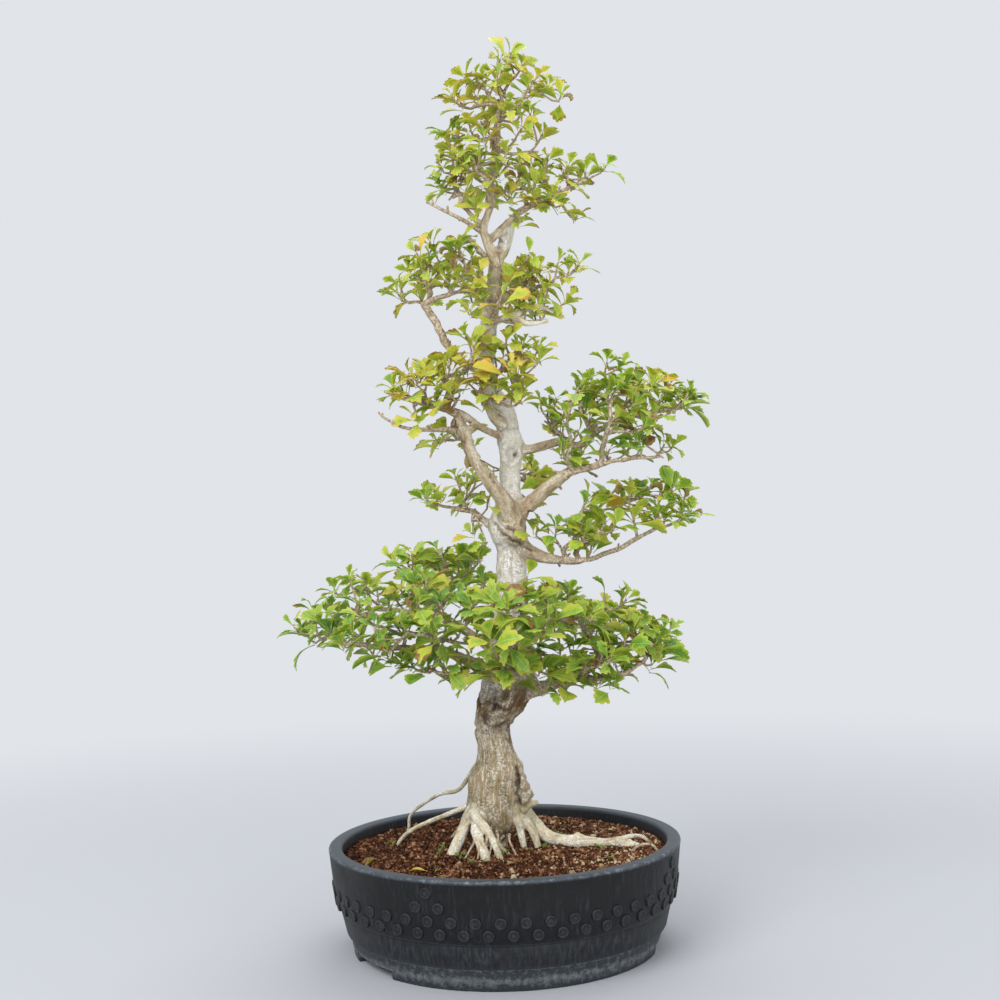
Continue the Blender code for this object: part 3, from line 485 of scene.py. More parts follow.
step = 360 / studShape["perRow"]
spots = [(studShape["startAngle"] + step * (k + row / 2), height)
         for row, height in enumerate(studShape["rows"]) for k in range(studShape["perRow"])]
low, high = studShape["pyramidRows"]
for corner in range(studShape["pyramids"]):
    middle = studShape["startAngle"] + corner * 360 / studShape["pyramids"]
    spots += [(middle - step / 2, low), (middle + step / 2, low), (middle, high)]
studPoints, studFacing = [], []
for angle, height in spots:
    radius, lean = wallAt(height)
    out = Vector((math.cos(frontAngle(angle)), math.sin(frontAngle(angle)), 0))
    studPoints.append(out * radius + Vector((0, 0, height)))
    studFacing.append(out * math.cos(lean) - Vector((0, 0, math.sin(lean))))
studSource = meshObject("studPoints", studPoints, [], smoothShaded=False)
giveValues(studSource.data, "facing", "FLOAT_VECTOR", [tuple(v) for v in studFacing])
useTree(studSource, studTree, {"Stud": studModel, "Stud Size": 1.0, "Material": potPlastic})
potStuds = asPlainMesh(studSource, "potStuds")
discard([studModel])
done(potStuds, [])

# Drain screens: black plastic mesh squares over the holes, on the floor under the grit
screenShape = {"size": 38.0, "cells": 13, "strand": 0.9, "height": 24.9}

# Extruded polyethylene, a little waxy, dusted brown by the grit
screenPlastic, tree, shader = newMaterial("screenPolyethylene", 0.45, 1.51)
place = addNode(tree, "ShaderNodeTexCoord").outputs["Object"]
dust = addNode(tree, "ShaderNodeTexNoise", None, {"Vector": place, "Scale": 160.0, "Detail": 4.0})
dusty = addNode(tree, "ShaderNodeMix", mixColour,
                {0: dust, 6: hexColour("#141517"), 7: hexColour("#3A2C26")})
feed(tree, shader, {"Base Color": dusty})
for number, side in ((1, -1), (2, 1)):
    bm = bmesh.new()
    middle = Matrix.Translation(Vector((side * potShape["drainOffset"], 0, screenShape["height"])) * mm)
    bmesh.ops.create_grid(bm, x_segments=screenShape["cells"], y_segments=screenShape["cells"],
                          size=(screenShape["size"] - screenShape["strand"]) / 2 * mm, matrix=middle)
    grid = addObject("screenGrid", meshFrom(bm, "screenGrid"))
    strands = grid.modifiers.new("strands", "WIREFRAME")
    strands.thickness = screenShape["strand"] * mm
    screen = asPlainMesh(grid, "drainScreen" + str(number))
    screen.data.materials.append(screenPlastic)
    done(screen, ["drain_screen_" + str(number)])
print("pot")


# Soil: crushed fired clay and lava, 2 to 4 mm, red-brown and dull, with a few pale pumice stones
soilShape = {"level": 94.2, "mound": 2.6, "edge": 162.4, "rings": 54, "segments": 150, "bumps": 2.0,
             "bumpSizes": (16, 6), "top": 90, "under": ((0, 24.4), (145.6, 24.4), (159.6, 60))}
gritShape = {"spacing": 2.2, "size": 1.8, "seed": 5, "kinds": 7, "corners": 8, "width": 0.85,
             "height": 0.75, "above": 88, "reach": 160.5, "density": 400000.0}

gritMaterial, tree, shader = newMaterial("firedClayGrit", 0.92)
tint = addNode(tree, "ShaderNodeAttribute", {"attribute_name": "grainTint"}).outputs["Fac"]
place = addNode(tree, "ShaderNodeTexCoord").outputs["Object"]
sideways = addNode(tree, "ShaderNodeSeparateXYZ", None, {0: place}).outputs["X"]
patches = addNode(tree, "ShaderNodeTexNoise", None,  # damp and dry patches, 15 to 30 mm across
                  {"Vector": place, "Scale": 45.0, "Detail": 3.0})
patchesLighterRight = addNode(tree, "ShaderNodeMath", scaleAndAdd,  # lighter towards the right
                  {0: sideways, 1: 0.3, 2: patches})
wet = addNode(tree, "ShaderNodeValToRGB", None, {"Fac": patchesLighterRight})
setRamp(wet, ((0.22, "#9E8C80"), (0.4, "#DACFC6"), (0.54, "#FFFFFF")))
specks = addNode(tree, "ShaderNodeTexNoise", None, {"Vector": place, "Scale": 700.0, "Detail": 3.0})
# The grains are paler towards the right as well
paler = addNode(tree, "ShaderNodeMath", scaleAndAdd, {0: sideways, 1: 0.7, 2: tint})
grainRamp = addNode(tree, "ShaderNodeValToRGB", None, {"Fac": paler})
setRamp(grainRamp, ((0.0, "#28150C"), (0.3, "#583420"), (0.62, "#885A3E"), (0.86, "#B3845E"),
                    (0.96, "#CBA480"), (0.988, "#E2CFA8")))
darkened = addNode(tree, "ShaderNodeMix", stainColour, {0: 0.6, 6: grainRamp, 7: specks})
patched = addNode(tree, "ShaderNodeMix", stainColour, {0: 1.0, 6: darkened, 7: wet})
rough = addNode(tree, "ShaderNodeBump", None, {"Strength": 0.6, "Distance": 0.4 * mm, "Height": specks})
feed(tree, shader, {"Base Color": patched, "Normal": rough, "Specular IOR Level": 0.15})  # dull crumbs


def soilTop(x, y):
    # Height of the bed, a little mounded, with low bumps and hollows
    radius = math.hypot(x, y)
    wide, narrow = soilShape["bumpSizes"]
    bumps = noise.noise(Vector((x, y, 3)) / wide) + 0.5 * noise.noise(Vector((x, y, 9)) / narrow)
    rise = soilShape["mound"] * (1 - (radius / soilShape["edge"]) ** 2)
    return soilShape["level"] + rise + soilShape["bumps"] * bumps


top = soilShape["top"]
bedProfile = [*soilShape["under"]]
bedProfile += [(soilShape["edge"] * k / soilShape["rings"], top) for k in range(soilShape["rings"], 0, -1)]
bedVerts, bedFaces = spin(bedProfile + [(0, top)], evenAngles(soilShape["segments"]))
bedVerts = [Vector((v.x, v.y, soilTop(v.x, v.y))) if v.z == top else v for v in bedVerts]
soilBed = meshObject("soilBed", bedVerts, bedFaces, gritMaterial)
giveValues(soilBed.data, "grainTint", "FLOAT", [0.22 + 0.2 * noise.noise(v / 7) for v in bedVerts])
done(soilBed, ["soil"])


def grain(seed):
    # One angular crumb: the hull of points spaced by the golden angle on a squashed ball
    chance = random.Random(seed)
    bm = bmesh.new()
    for k in range(gritShape["corners"]):
        angle = 2 * math.pi * (k + chance.uniform(0, 0.5)) * 0.382
        level = 1 - 2 * (k + 0.5) / gritShape["corners"]
        ring = math.sqrt(1 - level * level)
        corner = Vector((ring * math.cos(angle), ring * math.sin(angle) * gritShape["width"],
                         level * gritShape["height"]))
        bm.verts.new(corner * chance.uniform(0.8, 1.15))
    bmesh.ops.convex_hull(bm, input=bm.verts)
    bmesh.ops.recalc_face_normals(bm, faces=bm.faces)
    return bpy.data.objects.new("grain", meshFrom(bm, "grain"))


grainKinds = bpy.data.collections.new("grainKinds")
for kind in range(gritShape["kinds"]):
    grainKinds.objects.link(grain(kind))

gritTree, given, result = addTree("soilGrit", {"Grains": "Collection", "Spacing": "Float",
                                               "Grain Size": "Float", "Seed": "Int",
                                               "Material": "Material"})
spread = addNode(gritTree, "GeometryNodeDistributePointsOnFaces", {"distribute_method": "POISSON"},
                 {"Mesh": given["Geometry"], "Distance Min": given["Spacing"],
                  "Density Max": gritShape["density"], "Seed": given["Seed"]})
kinds = addNode(gritTree, "GeometryNodeCollectionInfo", None,
                {"Collection": given["Grains"], "Separate Children": True, "Reset Children": True})
whichKind = addNode(gritTree, "FunctionNodeRandomValue", {"data_type": "INT"},
                    {4: 0, 5: gritShape["kinds"] - 1, "Seed": 2})
turned = addNode(gritTree, "FunctionNodeRandomValue", {"data_type": "FLOAT_VECTOR"},
                 {0: (0, 0, 0), 1: (6.283, 6.283, 6.283), "Seed": 3})
turn = addNode(gritTree, "FunctionNodeEulerToRotation", None, {"Euler": turned})
tintValue = addNode(gritTree, "FunctionNodeRandomValue", {"data_type": "FLOAT"}, {2: 0.0, 3: 1.0, "Seed": 4})
pale = addNode(gritTree, "FunctionNodeCompare", {"data_type": "FLOAT", "operation": "GREATER_THAN"},
               {0: tintValue, 1: 0.988})
sizeValue = addNode(gritTree, "FunctionNodeRandomValue", {"data_type": "FLOAT"}, {2: 0.0, 3: 1.0, "Seed": 6})
# Most grains are small, from 0.65 of the size up to 1.75, and the pale stones are larger
mostlySmall = addNode(gritTree, "ShaderNodeMath", {"operation": "POWER"}, {0: sizeValue, 1: 3.0})
grainShare = addNode(gritTree, "ShaderNodeMath", scaleAndAdd, {0: mostlySmall, 1: 1.1, 2: 0.65})
paleGrowth = addNode(gritTree, "ShaderNodeMath", scaleAndAdd, {0: pale, 1: 0.8, 2: 1.0})
sized = addNode(gritTree, "ShaderNodeMath", product, {0: grainShare, 1: paleGrowth})
size = addNode(gritTree, "ShaderNodeMath", product, {0: sized, 1: given["Grain Size"]})
tinted = addNode(gritTree, "GeometryNodeStoreNamedAttribute", {"data_type": "FLOAT", "domain": "POINT"},
                 {"Geometry": spread, "Name": "grainTint", "Value": tintValue})
grains = addNode(gritTree, "GeometryNodeInstanceOnPoints", None,
                 {"Points": tinted, "Instance": kinds, "Pick Instance": True, "Instance Index": whichKind,
                  "Rotation": turn, "Scale": size})
real = addNode(gritTree, "GeometryNodeRealizeInstances", None, {"Geometry": grains})
finished = addNode(gritTree, "GeometryNodeSetMaterial", None,
                   {"Geometry": real, "Material": given["Material"]})
feed(gritTree, result, {0: finished})

# The grains lie on a copy of the bed's top, just short of the wall
topFaces = [face for face in bedFaces if all(
    bedVerts[i].z > gritShape["above"] and bedVerts[i].xy.length < gritShape["reach"] for i in face)]
gritSource = meshObject("gritSource", bedVerts, topFaces)
useTree(gritSource, gritTree, {"Grains": grainKinds, "Spacing": gritShape["spacing"] * mm,
                               "Grain Size": gritShape["size"] * mm, "Seed": gritShape["seed"],
                               "Material": gritMaterial})
soilGrit = asPlainMesh(gritSource, "soilGrit")
discard(grainKinds.objects)
done(soilGrit, [])
print("soil")


# Trunk: rose of sharon's thin pale bark, cream to grey, finely cracked low down and smoother above.
# The trunk, roots and limbs are fused into one skin, blended where they join and then carved by noise
# that follows the grain.
barkShape = {"sides": 20, "limbSides": 14, "step": 3.0, "skin": 1.35, "blend": 24, "lumpSize": 17.0,
             "lumpHeight": 1.3, "knobSize": 6.0, "knobHeight": 0.55, "ribWidth": 5.0, "ribDepth": 0.5,
             "foldBand": (398, 450), "foldSpacing": 4.6, "foldDepth": 0.4, "burlKnobs": 12, "wholeBurl": 9,
             # The torn band under the low sprays: its height and spread, its scales and its pits
             "rugged": (243, 17), "scaleSize": 5.0, "scaleHeight": 1.5, "pitSize": 2.4, "pitDepth": 0.8,
             "paleFrom": 262, "paleRise": 60}
# The trunk's centre line: x, y, z and radius
trunkLine = (
    (-9, 6, 86, 12), (-9, 6, 104, 14), (-10, 6, 114, 20), (-11, 6, 124, 25), (-12, 5, 140, 26),
    (-10, 5, 160, 25.5), (-6, 5, 179, 22), (-7, 5, 199, 19), (-10, 5, 216, 18), (-7, 5, 230, 20),
    (2, 4, 246, 26), (8, 3, 262, 27), (11, 3, 282, 24), (12, 4, 306, 19), (13, 5, 338, 16.5),
    (16, 6, 396, 15.5), (12, 3, 420, 20), (15, 5, 442, 15.5), (16, 6, 462, 11.5), (17, 6, 480, 11.3),
    (19, 5, 500, 13.4), (16, 4, 521, 13), (12, 3, 541, 11.5), (1, 2, 560, 9.5), (-5, 1, 583, 10),
    (-1, 0, 630, 9.5), (4, 0, 652, 8.5), (10, 0, 696, 8.2), (17, 1, 708, 7.5), (21, 2, 722, 7),
    (24, 3, 736, 6.2),
)
# Surface roots, each from the trunk to where it goes under
rootLines = {
    "aerial_left": ((-18, 12, 186, 3.2), (-28, 14, 176, 2.9), (-41, 22, 156, 2.5), (-50, 30, 148, 2.4),
                    (-69, 50, 141, 2.3), (-98, 78, 118, 2.0), (-103, 84, 102, 2.0), (-104, 86, 86, 1.8)),
    "low_left": ((-26, 4, 141, 3.5), (-68, 14, 124, 2.6), (-94, 22, 112, 2.4), (-108, 26, 100, 2.4),
                 (-114, 27, 86, 2.2)),
    "front_left": ((-26, -4, 142, 6.5), (-36, -12, 130, 6.6), (-44, -20, 112, 6.6), (-52, -27, 97, 6.2),
                   (-57, -31, 84, 5.2)),
    "front": ((-20, -12, 134, 6), (-28, -26, 122, 6), (-25, -38, 110, 6), (-19, -50, 97, 5.4),
              (-16, -57, 84, 4.8)),
    "front_crossing": ((-28, -8, 141, 5.6), (-30, -21, 134, 5), (-19, -33, 124, 4.6),
                       (-11, -42, 110, 3.9), (0, -58, 85, 2.8)),
    "front_fork": ((-12, -40, 112, 3.4), (-4, -36, 103, 3.2), (4, -34, 94, 2.8), (9, -33, 84, 2.4)),
    "back_left": ((-24, 16, 132, 6), (-38, 32, 114, 5), (-52, 47, 98, 4.4), (-62, 57, 84, 3.6)),
    "back": ((-6, 22, 132, 7), (-4, 40, 114, 5.6), (0, 58, 98, 4.6), (4, 70, 84, 3.6)),
    "right_inner": ((10, -4, 136, 6), (15, -7, 118, 4.4), (19, -9, 100, 3.6), (21, -10, 84, 3.0)),
    "right_middle": ((10, -2, 134, 7), (24, -5, 120, 5), (31, -8, 106, 4.2), (36, -10, 86, 3.4)),
    "right_long": ((4, 6, 142, 9), (20, 7, 132, 8), (31, 6, 118, 7.4), (42, 3, 106, 7.2),
                   (62, -3, 100, 7.8), (84, -6, 99, 7), (106, -4, 97, 6), (122, 3, 100, 3.4),
                   (132, 5, 102, 2.4), (143, 8, 99, 2.1), (152, 10, 88, 1.8)),
    "pruned_root": ((16, -2, 132, 5), (24, -7, 137, 3.4), (34, -10, 142, 2.8)),
    "right_tip": ((110, -3, 98, 3.4), (126, -8, 98, 2.8), (137, -16, 95, 2.3), (142, -21, 86, 2.0)),
}
# Limbs up to their first fork
limbLines = {
    "low_left": ((2, -4, 268, 11), (-16, -16, 278, 8), (-36, -24, 290, 6), (-56, -30, 299, 4.6)),
    "low_left_back": ((4, 10, 290, 9), (-12, 22, 300, 6.5), (-30, 34, 311, 4.6)),
    "low_front": ((10, -8, 272, 10), (13, -28, 284, 7), (17, -46, 300, 4.8)),
    "low_right": ((18, 0, 254, 12), (38, -8, 256, 8.5), (58, -16, 262, 6), (74, -22, 267, 4.2)),
    "low_right_back": ((16, 10, 300, 8), (34, 24, 312, 5.8), (52, 36, 322, 4.2)),
    "low_back": ((12, 12, 274, 9), (20, 34, 290, 6.5), (26, 54, 306, 4.6)),
    "small_left": ((12, 5, 408, 7), (-4, 6, 422, 4.6), (-17, 7, 434, 3.4)),
    "right_low": ((20, 2, 404, 12), (36, -2, 394, 8), (52, -5, 388, 6), (66, -7, 386, 4.6)),
    "right_high": ((20, 0, 434, 11), (38, -6, 446, 9), (56, -12, 461, 7.8), (72, -17, 472, 6.2)),
    "right_inner": ((20, 4, 502, 8), (36, 3, 500, 5.6), (62, 1, 506, 4.8)),
    "middle_left": ((17, -5, 424, 13), (11, -17, 444, 10), (1, -27, 460, 8), (-11, -35, 477, 7),
                    (-22, -41, 496, 6.2), (-28, -44, 516, 6.4), (-33, -47, 529, 3.8)),
    "middle_front": ((14, 0, 524, 7), (2, -13, 532, 5.2), (-5, -22, 545, 4)),
    "middle_back": ((16, 8, 446, 9), (14, 26, 460, 5.8), (12, 42, 474, 4.2)),
    "upper_left": ((-4, 0, 584, 7), (-19, -8, 586, 5.2), (-33, -13, 593, 4.4), (-43, -16, 607, 3.8)),
    "upper_right": ((4, 0, 650, 6), (17, 4, 658, 3.8), (27, 6, 665, 3)),
    "upper_front": ((-4, 0, 606, 7), (-11, -12, 610, 4.6), (-7, -20, 621, 4), (4, -22, 628, 3.4)),
    "upper_back": ((-2, 2, 622, 6.5), (2, 17, 633, 4), (4, 30, 644, 3.2)),
    "apex_left": ((-3, -12, 727, 3.8), (-13, -15, 738, 2.6), (-21, -17, 747, 2.2)),
    "apex_right": ((4, -11, 716, 4), (17, -14, 728, 3), (28, -16, 737, 2.4)),
    "apex_front": ((4, -12, 748, 3.6), (3, -22, 758, 2.6), (2, -30, 767, 2.2)),
    "apex_back": ((4, -8, 752, 3.8), (7, 6, 763, 2.8), (9, 17, 774, 2.4)),
    "apex_crown": ((9, -2, 690, 6.4), (3, -10, 704, 5.2), (-1, -13, 716, 4.8), (-3, -14, 727, 4.4),
                   (6, -10, 754, 4), (5, -8, 766, 3.8), (8, -7, 784, 3.5), (11, -6, 802, 3.2)),
    "dead_front": ((0, -4, 622, 6), (-5, -14, 624, 5), (7, -20, 630, 4.4), (23, -24, 633, 4),
                   (39, -26, 626, 3.2), (59, -26, 628, 2.4)),
    "dead_upper": ((23, -24, 633, 3.6), (35, -26, 639, 3), (52, -28, 642, 2.4), (65, -28, 636, 1.8)),
    "middle_low": ((8, -2, 514, 4), (-12, -30, 522, 4), (-30, -40, 535, 4), (-50, -42, 541, 3.6),
                   (-71, -46, 547, 3), (-89, -48, 552, 2.4), (-106, -50, 559, 1.8)),
    "bare_twig": ((-2, -13, 720, 2.4), (-20, -20, 732, 2.0), (-42, -25, 743, 1.6), (-60, -28, 752, 1.2)),
    "bare_stub": ((4, -4, 692, 3), (-9, -12, 706, 2.6), (-20, -16, 718, 2.2)),
    "bare_left": ((-30, -44, 521, 3), (-55, -50, 519, 2.4), (-84, -54, 521, 1.8), (-96, -56, 526, 1.5),
                  (-108, -56, 533, 1.2)),
}
# Swellings on the bark: centre and radius
burls = ((20, -9, 167, 5), (22, -10, 158, 5.5), (26, -10, 150, 5), (23, -9, 143, 5.5), (20, -6, 136, 6),
         (-28, -44, 519, 8.5), (19, -3, 717, 5.5), (13, -6, 706, 5), (118, -7, 96, 6), (126, -9, 95, 6.5),
         (132, -11, 93, 5), (75, -4, 104, 5), (20, -9, 413, 13), (8, -1, 176, 14.5), (14, -2, 152, 11.5))
# Scars and knot holes in the bark: centre, radius and depth
scars = (((22, -8, 494), 3.3, 3.2), ((14, -9, 711), 3.8, 4), ((19, -17, 420), 3, 3.4),
         ((33, -12, 425), 3, 2.8), ((-8, -20, 242), 8, 2.6), ((2, -22, 232), 6, 2.2),
         ((-16, -14, 228), 6, 2.2), ((6, -24, 252), 5, 1.6), ((-12, -38, 488), 4.5, 2.0),
         ((24, -7, 733), 5, 3), ((8, -20, 560), 4, 1.2), ((-2, -25, 166), 3, 1.0),
         ((27, -12, 424), 5, 1.5), ((2, -8, 612), 4, 1.4))
# Raised rims of old wounds: centre, radius and height
rims = (((18, -8, 495), 8.5, 1.9), ((13, -8, 711), 6.5, 1.6))
# Grooves right round the trunk, where it was once cut or wired: height, half width and depth
collars = ((215, 2.4, 1.6), (257, 1.6, 0.5), (401, 1.8, 0.7), (521, 2.2, 0.9), (606, 2.0, 0.8),
           (696, 2.0, 0.8))
# Creases on the front of the trunk: points (x, z), half width and depth
creases = ((((13, 421), (18, 417), (25, 414), (32, 416), (35, 424), (36, 435)), 1.5, 2.2),
           (((0, 424), (7, 414), (15, 408), (26, 402), (36, 396)), 1.6, 2.4),
           (((-21, 242), (-13, 245), (-10, 239), (-3, 242), (2, 236), (11, 237)), 1.3, 1.9),
           (((-19, 229), (-16, 222), (-6, 219), (2, 221), (7, 223)), 1.8, 2.6),
           (((-17, 215), (-6, 215), (4, 215)), 1.0, 1.1), (((8, 219), (9, 210), (10, 202)), 1.4, 1.8),
           (((-7, 254), (-7, 247)), 1.4, 1.8), (((15, 177), (16, 165), (14, 152), (16, 141)), 2.2, 3.0),
           (((-17, 110), (-12, 104), (0, 104), (2, 109)), 3.6, 3.0),
           (((3, 364), (15, 362), (28, 366)), 1.0, 0.9))
# Where the bark has another part's tone: tone, middle and radius
toneSpots = (("limbShare", (28, -4, 250), 26), ("limbShare", (27, -10, 418), 23),
             ("limbShare", (9, -8, 690), 23), ("limbShare", (7, -6, 668), 20),
             ("paleShare", (-12, -18, 251), 15), ("paleShare", (-14, -8, 262), 12))

branches = [("trunk", smoothLine(trunkLine, barkShape["step"]), barkShape["sides"])]
branches += [("root", smoothLine(line, barkShape["step"]), barkShape["limbSides"])
             for line in rootLines.values()]
# Dead wood is as pale and bare as a root, and the bare twigs are made as a piece of their own further on
branches += [("root" if name.startswith("dead") else "limb", smoothLine(line, barkShape["step"]),
              barkShape["limbSides"]) for name, line in limbLines.items() if not name.startswith("bare")]
# A burl is a cluster of knobs that have grown together; the widest swellings stay whole
knobs = []
for x, y, z, radius in burls:
    if radius > barkShape["wholeBurl"]:
        knobs.append((Vector((x, y, z)), radius))
        continue
    knobs.append((Vector((x - 2, y + 1, z)), radius * 0.85))  # the cluster's core, set into the wood
    for k in range(barkShape["burlKnobs"]):
        chance = random.Random(f"{x} {z} {k}")
        away = gaussVector(chance, 1).normalized() * radius * 0.7
        knobs.append((Vector((x, y, z)) + away, radius * chance.uniform(0.34, 0.52)))

bm = bmesh.new()
bmesh.ops.create_icosphere(bm, subdivisions=2, radius=1.0)
ballVerts = [v.co.copy() for v in bm.verts]
ballFaces = [tuple(v.index for v in f.verts) for f in bm.faces]
bm.free()
shapes = [tube(line, sides) for kind, line, sides in branches]
shapes += [([middle + v * radius for v in ballVerts], ballFaces) for middle, radius in knobs]
skinSource = meshObject("skinSource", *joined(shapes))
remesh = skinSource.modifiers.new("skin", "REMESH")
remesh.mode = "VOXEL"
remesh.voxel_size = barkShape["skin"] * mm
remesh.use_smooth_shade = True
settle = skinSource.modifiers.new("settle", "SMOOTH")
settle.factor = 0.5
settle.iterations = 3
trunk = asPlainMesh(skinSource, "trunkAndRoots")


woodKinds = ("trunk", "root", "limb")


def grainCoordinates(verts):
    # For each vertex, its nearest branch: radius there, kind, and a place measured along the grain.
    # Each row holds place, side, across, along, radius, length along the grain, and kind.
    rows = []
    for number, (kind, line, _) in enumerate(branches):
        frames = lineFrames([place for place, radius in line])
        for k, ((place, radius), (along, side, across)) in enumerate(zip(line, frames)):
            length = k * barkShape["step"] + 200.0 * number  # each branch starts elsewhere in the pattern
            rows.append((*place, *side, *across, *along, radius, length, woodKinds.index(kind)))
    rows = np.array(rows, dtype=np.float32)
    nearest = np.empty(len(verts), dtype=np.int64)
    batch = 4000  # as many vertices at a time as fit easily in memory
    for start in range(0, len(verts), batch):
        part = verts[start:start + batch]
        apart = np.sqrt(((part[:, None, :] - rows[None, :, 0:3]) ** 2).sum(axis=2))
        nearest[start:start + batch] = (apart / (rows[None, :, 12] + 1.5)).argmin(axis=1)
    near = rows[nearest]
    off = verts - near[:, 0:3]
    grain = np.stack([(off * near[:, 3:6]).sum(axis=1), (off * near[:, 6:9]).sum(axis=1),
                      near[:, 13] + (off * near[:, 9:12]).sum(axis=1)], axis=1)
    return grain, near[:, 12], near[:, 14]


def smoothed(values, edges, rounds):
    # Averages a value over neighbouring vertices
    here = np.concatenate((edges[:, 0], edges[:, 1]))
    there = np.concatenate((edges[:, 1], edges[:, 0]))
    counts = np.bincount(here, minlength=len(values)) + 1.0
    for _ in range(rounds):
        values = (values + np.bincount(here, values[there], len(values))) / counts
    return values


def noiseAt(places, size, seed=0.0):
    shift = Vector((seed, -seed, seed * 0.5))
    return np.array([noise.noise(Vector(place) / size + shift) for place in places])


def bell(away, width):
    return np.exp(-(away / width) ** 2)


def distance(verts, middle, stretch=1):
    return np.linalg.norm((verts - np.array(middle)) * stretch, axis=1)


def carveBark(piece):
    mesh = piece.data
    shape = barkShape
    count = len(mesh.vertices)
    verts = np.empty(count * 3, dtype=np.float32)
    mesh.vertices.foreach_get("co", verts)
    verts = verts.reshape(-1, 3) / mm
    edges = np.empty(len(mesh.edges) * 2, dtype=np.int32)
    mesh.edges.foreach_get("vertices", edges)
    edges = edges.reshape(-1, 2)
    grain, radii, kinds = grainCoordinates(verts)
    # Thick wood flows together where it joins; thin roots and burls keep their shape
    soft = np.stack([smoothed(verts[:, k], edges, shape["blend"]) for k in range(3)], axis=1)
    share = smoothed(np.clip((radii - 3) / 7, 0, 1), edges, 6)
    for middle, radius in knobs:
        if radius < shape["wholeBurl"]:
            share *= np.clip(distance(verts, middle) / (1.3 * radius) - 1, 0, 1)
    share = smoothed(share, edges, 1)[:, None]
    verts = verts * (1 - share) + soft * share
    mesh.vertices.foreach_set("co", np.ravel(verts * mm).astype(np.float32))
    mesh.update()
    normals = np.empty(count * 3, dtype=np.float32)
    mesh.vertex_normals.foreach_get("vector", normals)
    normals = normals.reshape(-1, 3)
    # Lumps, small knobs and ribs along the grain, less on thin wood and high up
    size = np.clip(radii / 13, 0.3, 1)
    lumps = noiseAt(verts, shape["lumpSize"]) + 0.45 * noiseAt(verts, shape["lumpSize"] / 2.3, 4.0)
    small = noiseAt(verts, shape["knobSize"], 9.0)
    ribs = 1 - 2 * np.abs(noiseAt(grain * (1, 1, 0.16), shape["ribWidth"], 3.0))
    low = np.clip((280 - verts[:, 2]) / 40, 0.25, 1)
    warp = np.stack([noiseAt(verts, 7.0, seed) for seed in (11.0, 17.0, 23.0)], axis=1)
    depth = (shape["lumpHeight"] * lumps + shape["knobHeight"] * small
             - shape["ribDepth"] * ribs * low) * size
    # Torn scales where the low limbs leave the trunk
    level, spread = shape["rugged"]
    rugged = bell(verts[:, 2] - level, spread) * (kinds == 0)
    scaly = 1 - 2 * np.abs(noiseAt(verts * (1, 1, 0.55), shape["scaleSize"], 5.0))
    pits = noiseAt(verts, shape["pitSize"], 8.0)
    depth += rugged * (shape["scaleHeight"] * scaly + shape["pitDepth"] * pits - 1.0)
    # How dark each place is painted: painted shade in scars, wound rims, grooves and creases, deeper where
    # they are deeper, with some of the scars' own darker wood
    hollowShadeAndScar = np.zeros(count)
    for middle, radius, deep in scars:
        away = distance(verts + 3.2 * warp, middle, (1, 1, 0.72)) / radius
        bowl = np.clip(1 - away, 0, 1)
        depth -= deep * np.minimum(1, 1.7 * bowl)
        depth += 0.8 * bell(away - 1.12, 0.22)
        hollowShadeAndScar = np.maximum(hollowShadeAndScar, np.minimum(1, 1.9 * bowl) * min(1, deep / 3.6))
    for middle, radius, high in rims:
        away = distance(verts + 1.5 * warp, middle, (1, 0.4, 0.8)) / radius
        front = verts[:, 1] < middle[1] + 7
        depth += front * high * bell(away - 1, 0.2)
        depth -= front * 0.6 * high * bell(away - 0.6, 0.2)
        hollowShadeAndScar = np.maximum(hollowShadeAndScar, front * 0.4 * bell(away - 0.62, 0.14))
    for level, half, deep in collars:
        groove = np.where(kinds == 0, bell(np.abs(verts[:, 2] - level - 3.0 * warp[:, 0]), half), 0)
        depth -= deep * groove * np.clip(0.7 + warp[:, 1] * 1.6, 0.1, 1.3)
        hollowShadeAndScar = np.maximum(hollowShadeAndScar, 0.3 * groove)
    front = (verts[:, 1] < 2) & (kinds != 1)
    x = verts[:, 0] + warp[:, 0] * 2
    z = verts[:, 2] + warp[:, 1] * 2
    for points, half, deep in creases:
        away = np.full(count, 99.0)
        for dot, _ in smoothLine([(*point, 0, 1) for point in points], 1.5):
            away = np.minimum(away, np.hypot(x - dot[0], z - dot[1]))
        groove = np.where(front, bell(away, half), 0)
        depth -= deep * groove
        depth += 0.25 * deep * np.where(front, bell(away - 2.2 * half, half), 0)
        hollowShadeAndScar = np.maximum(hollowShadeAndScar, min(0.9, deep / 3) * groove)
    # Fine folds across the trunk where the limbs crowd
    low, high = shape["foldBand"]
    inFolds = np.clip(1 - np.abs(verts[:, 2] - (low + high) / 2) / (high - low) * 1.6, 0, 1) * (kinds != 1)
    folds = np.sin((verts[:, 2] + 5 * warp[:, 2] + 0.3 * verts[:, 0]) * 2 * math.pi / shape["foldSpacing"])
    depth += shape["foldDepth"] * folds * inFolds
    moved = (verts + normals * depth[:, None]) * mm
    mesh.vertices.foreach_set("co", np.ravel(moved).astype(np.float32))
    mesh.update()
    giveValues(mesh, "grain", "FLOAT_VECTOR", grain * mm)
    tones = {"limbShare": smoothed((kinds == 2).astype(float), edges, 12),
             "rootShare": smoothed((kinds == 1).astype(float), edges, 14),
             "paleShare": np.clip((verts[:, 2] - shape["paleFrom"]) / shape["paleRise"], 0, 1)}
    for name, middle, radius in toneSpots:
        away = distance(verts + 5 * warp, middle) / radius
        tones[name] = np.maximum(tones[name], np.clip((1 - away) * 4, 0, 1))
    tones["hollowShadeAndScar"] = smoothed(hollowShadeAndScar, edges, 1)
    tones["rugged"] = smoothed(rugged, edges, 2)
    for name, values in tones.items():
        giveValues(mesh, name, "FLOAT", values)


carveBark(trunk)

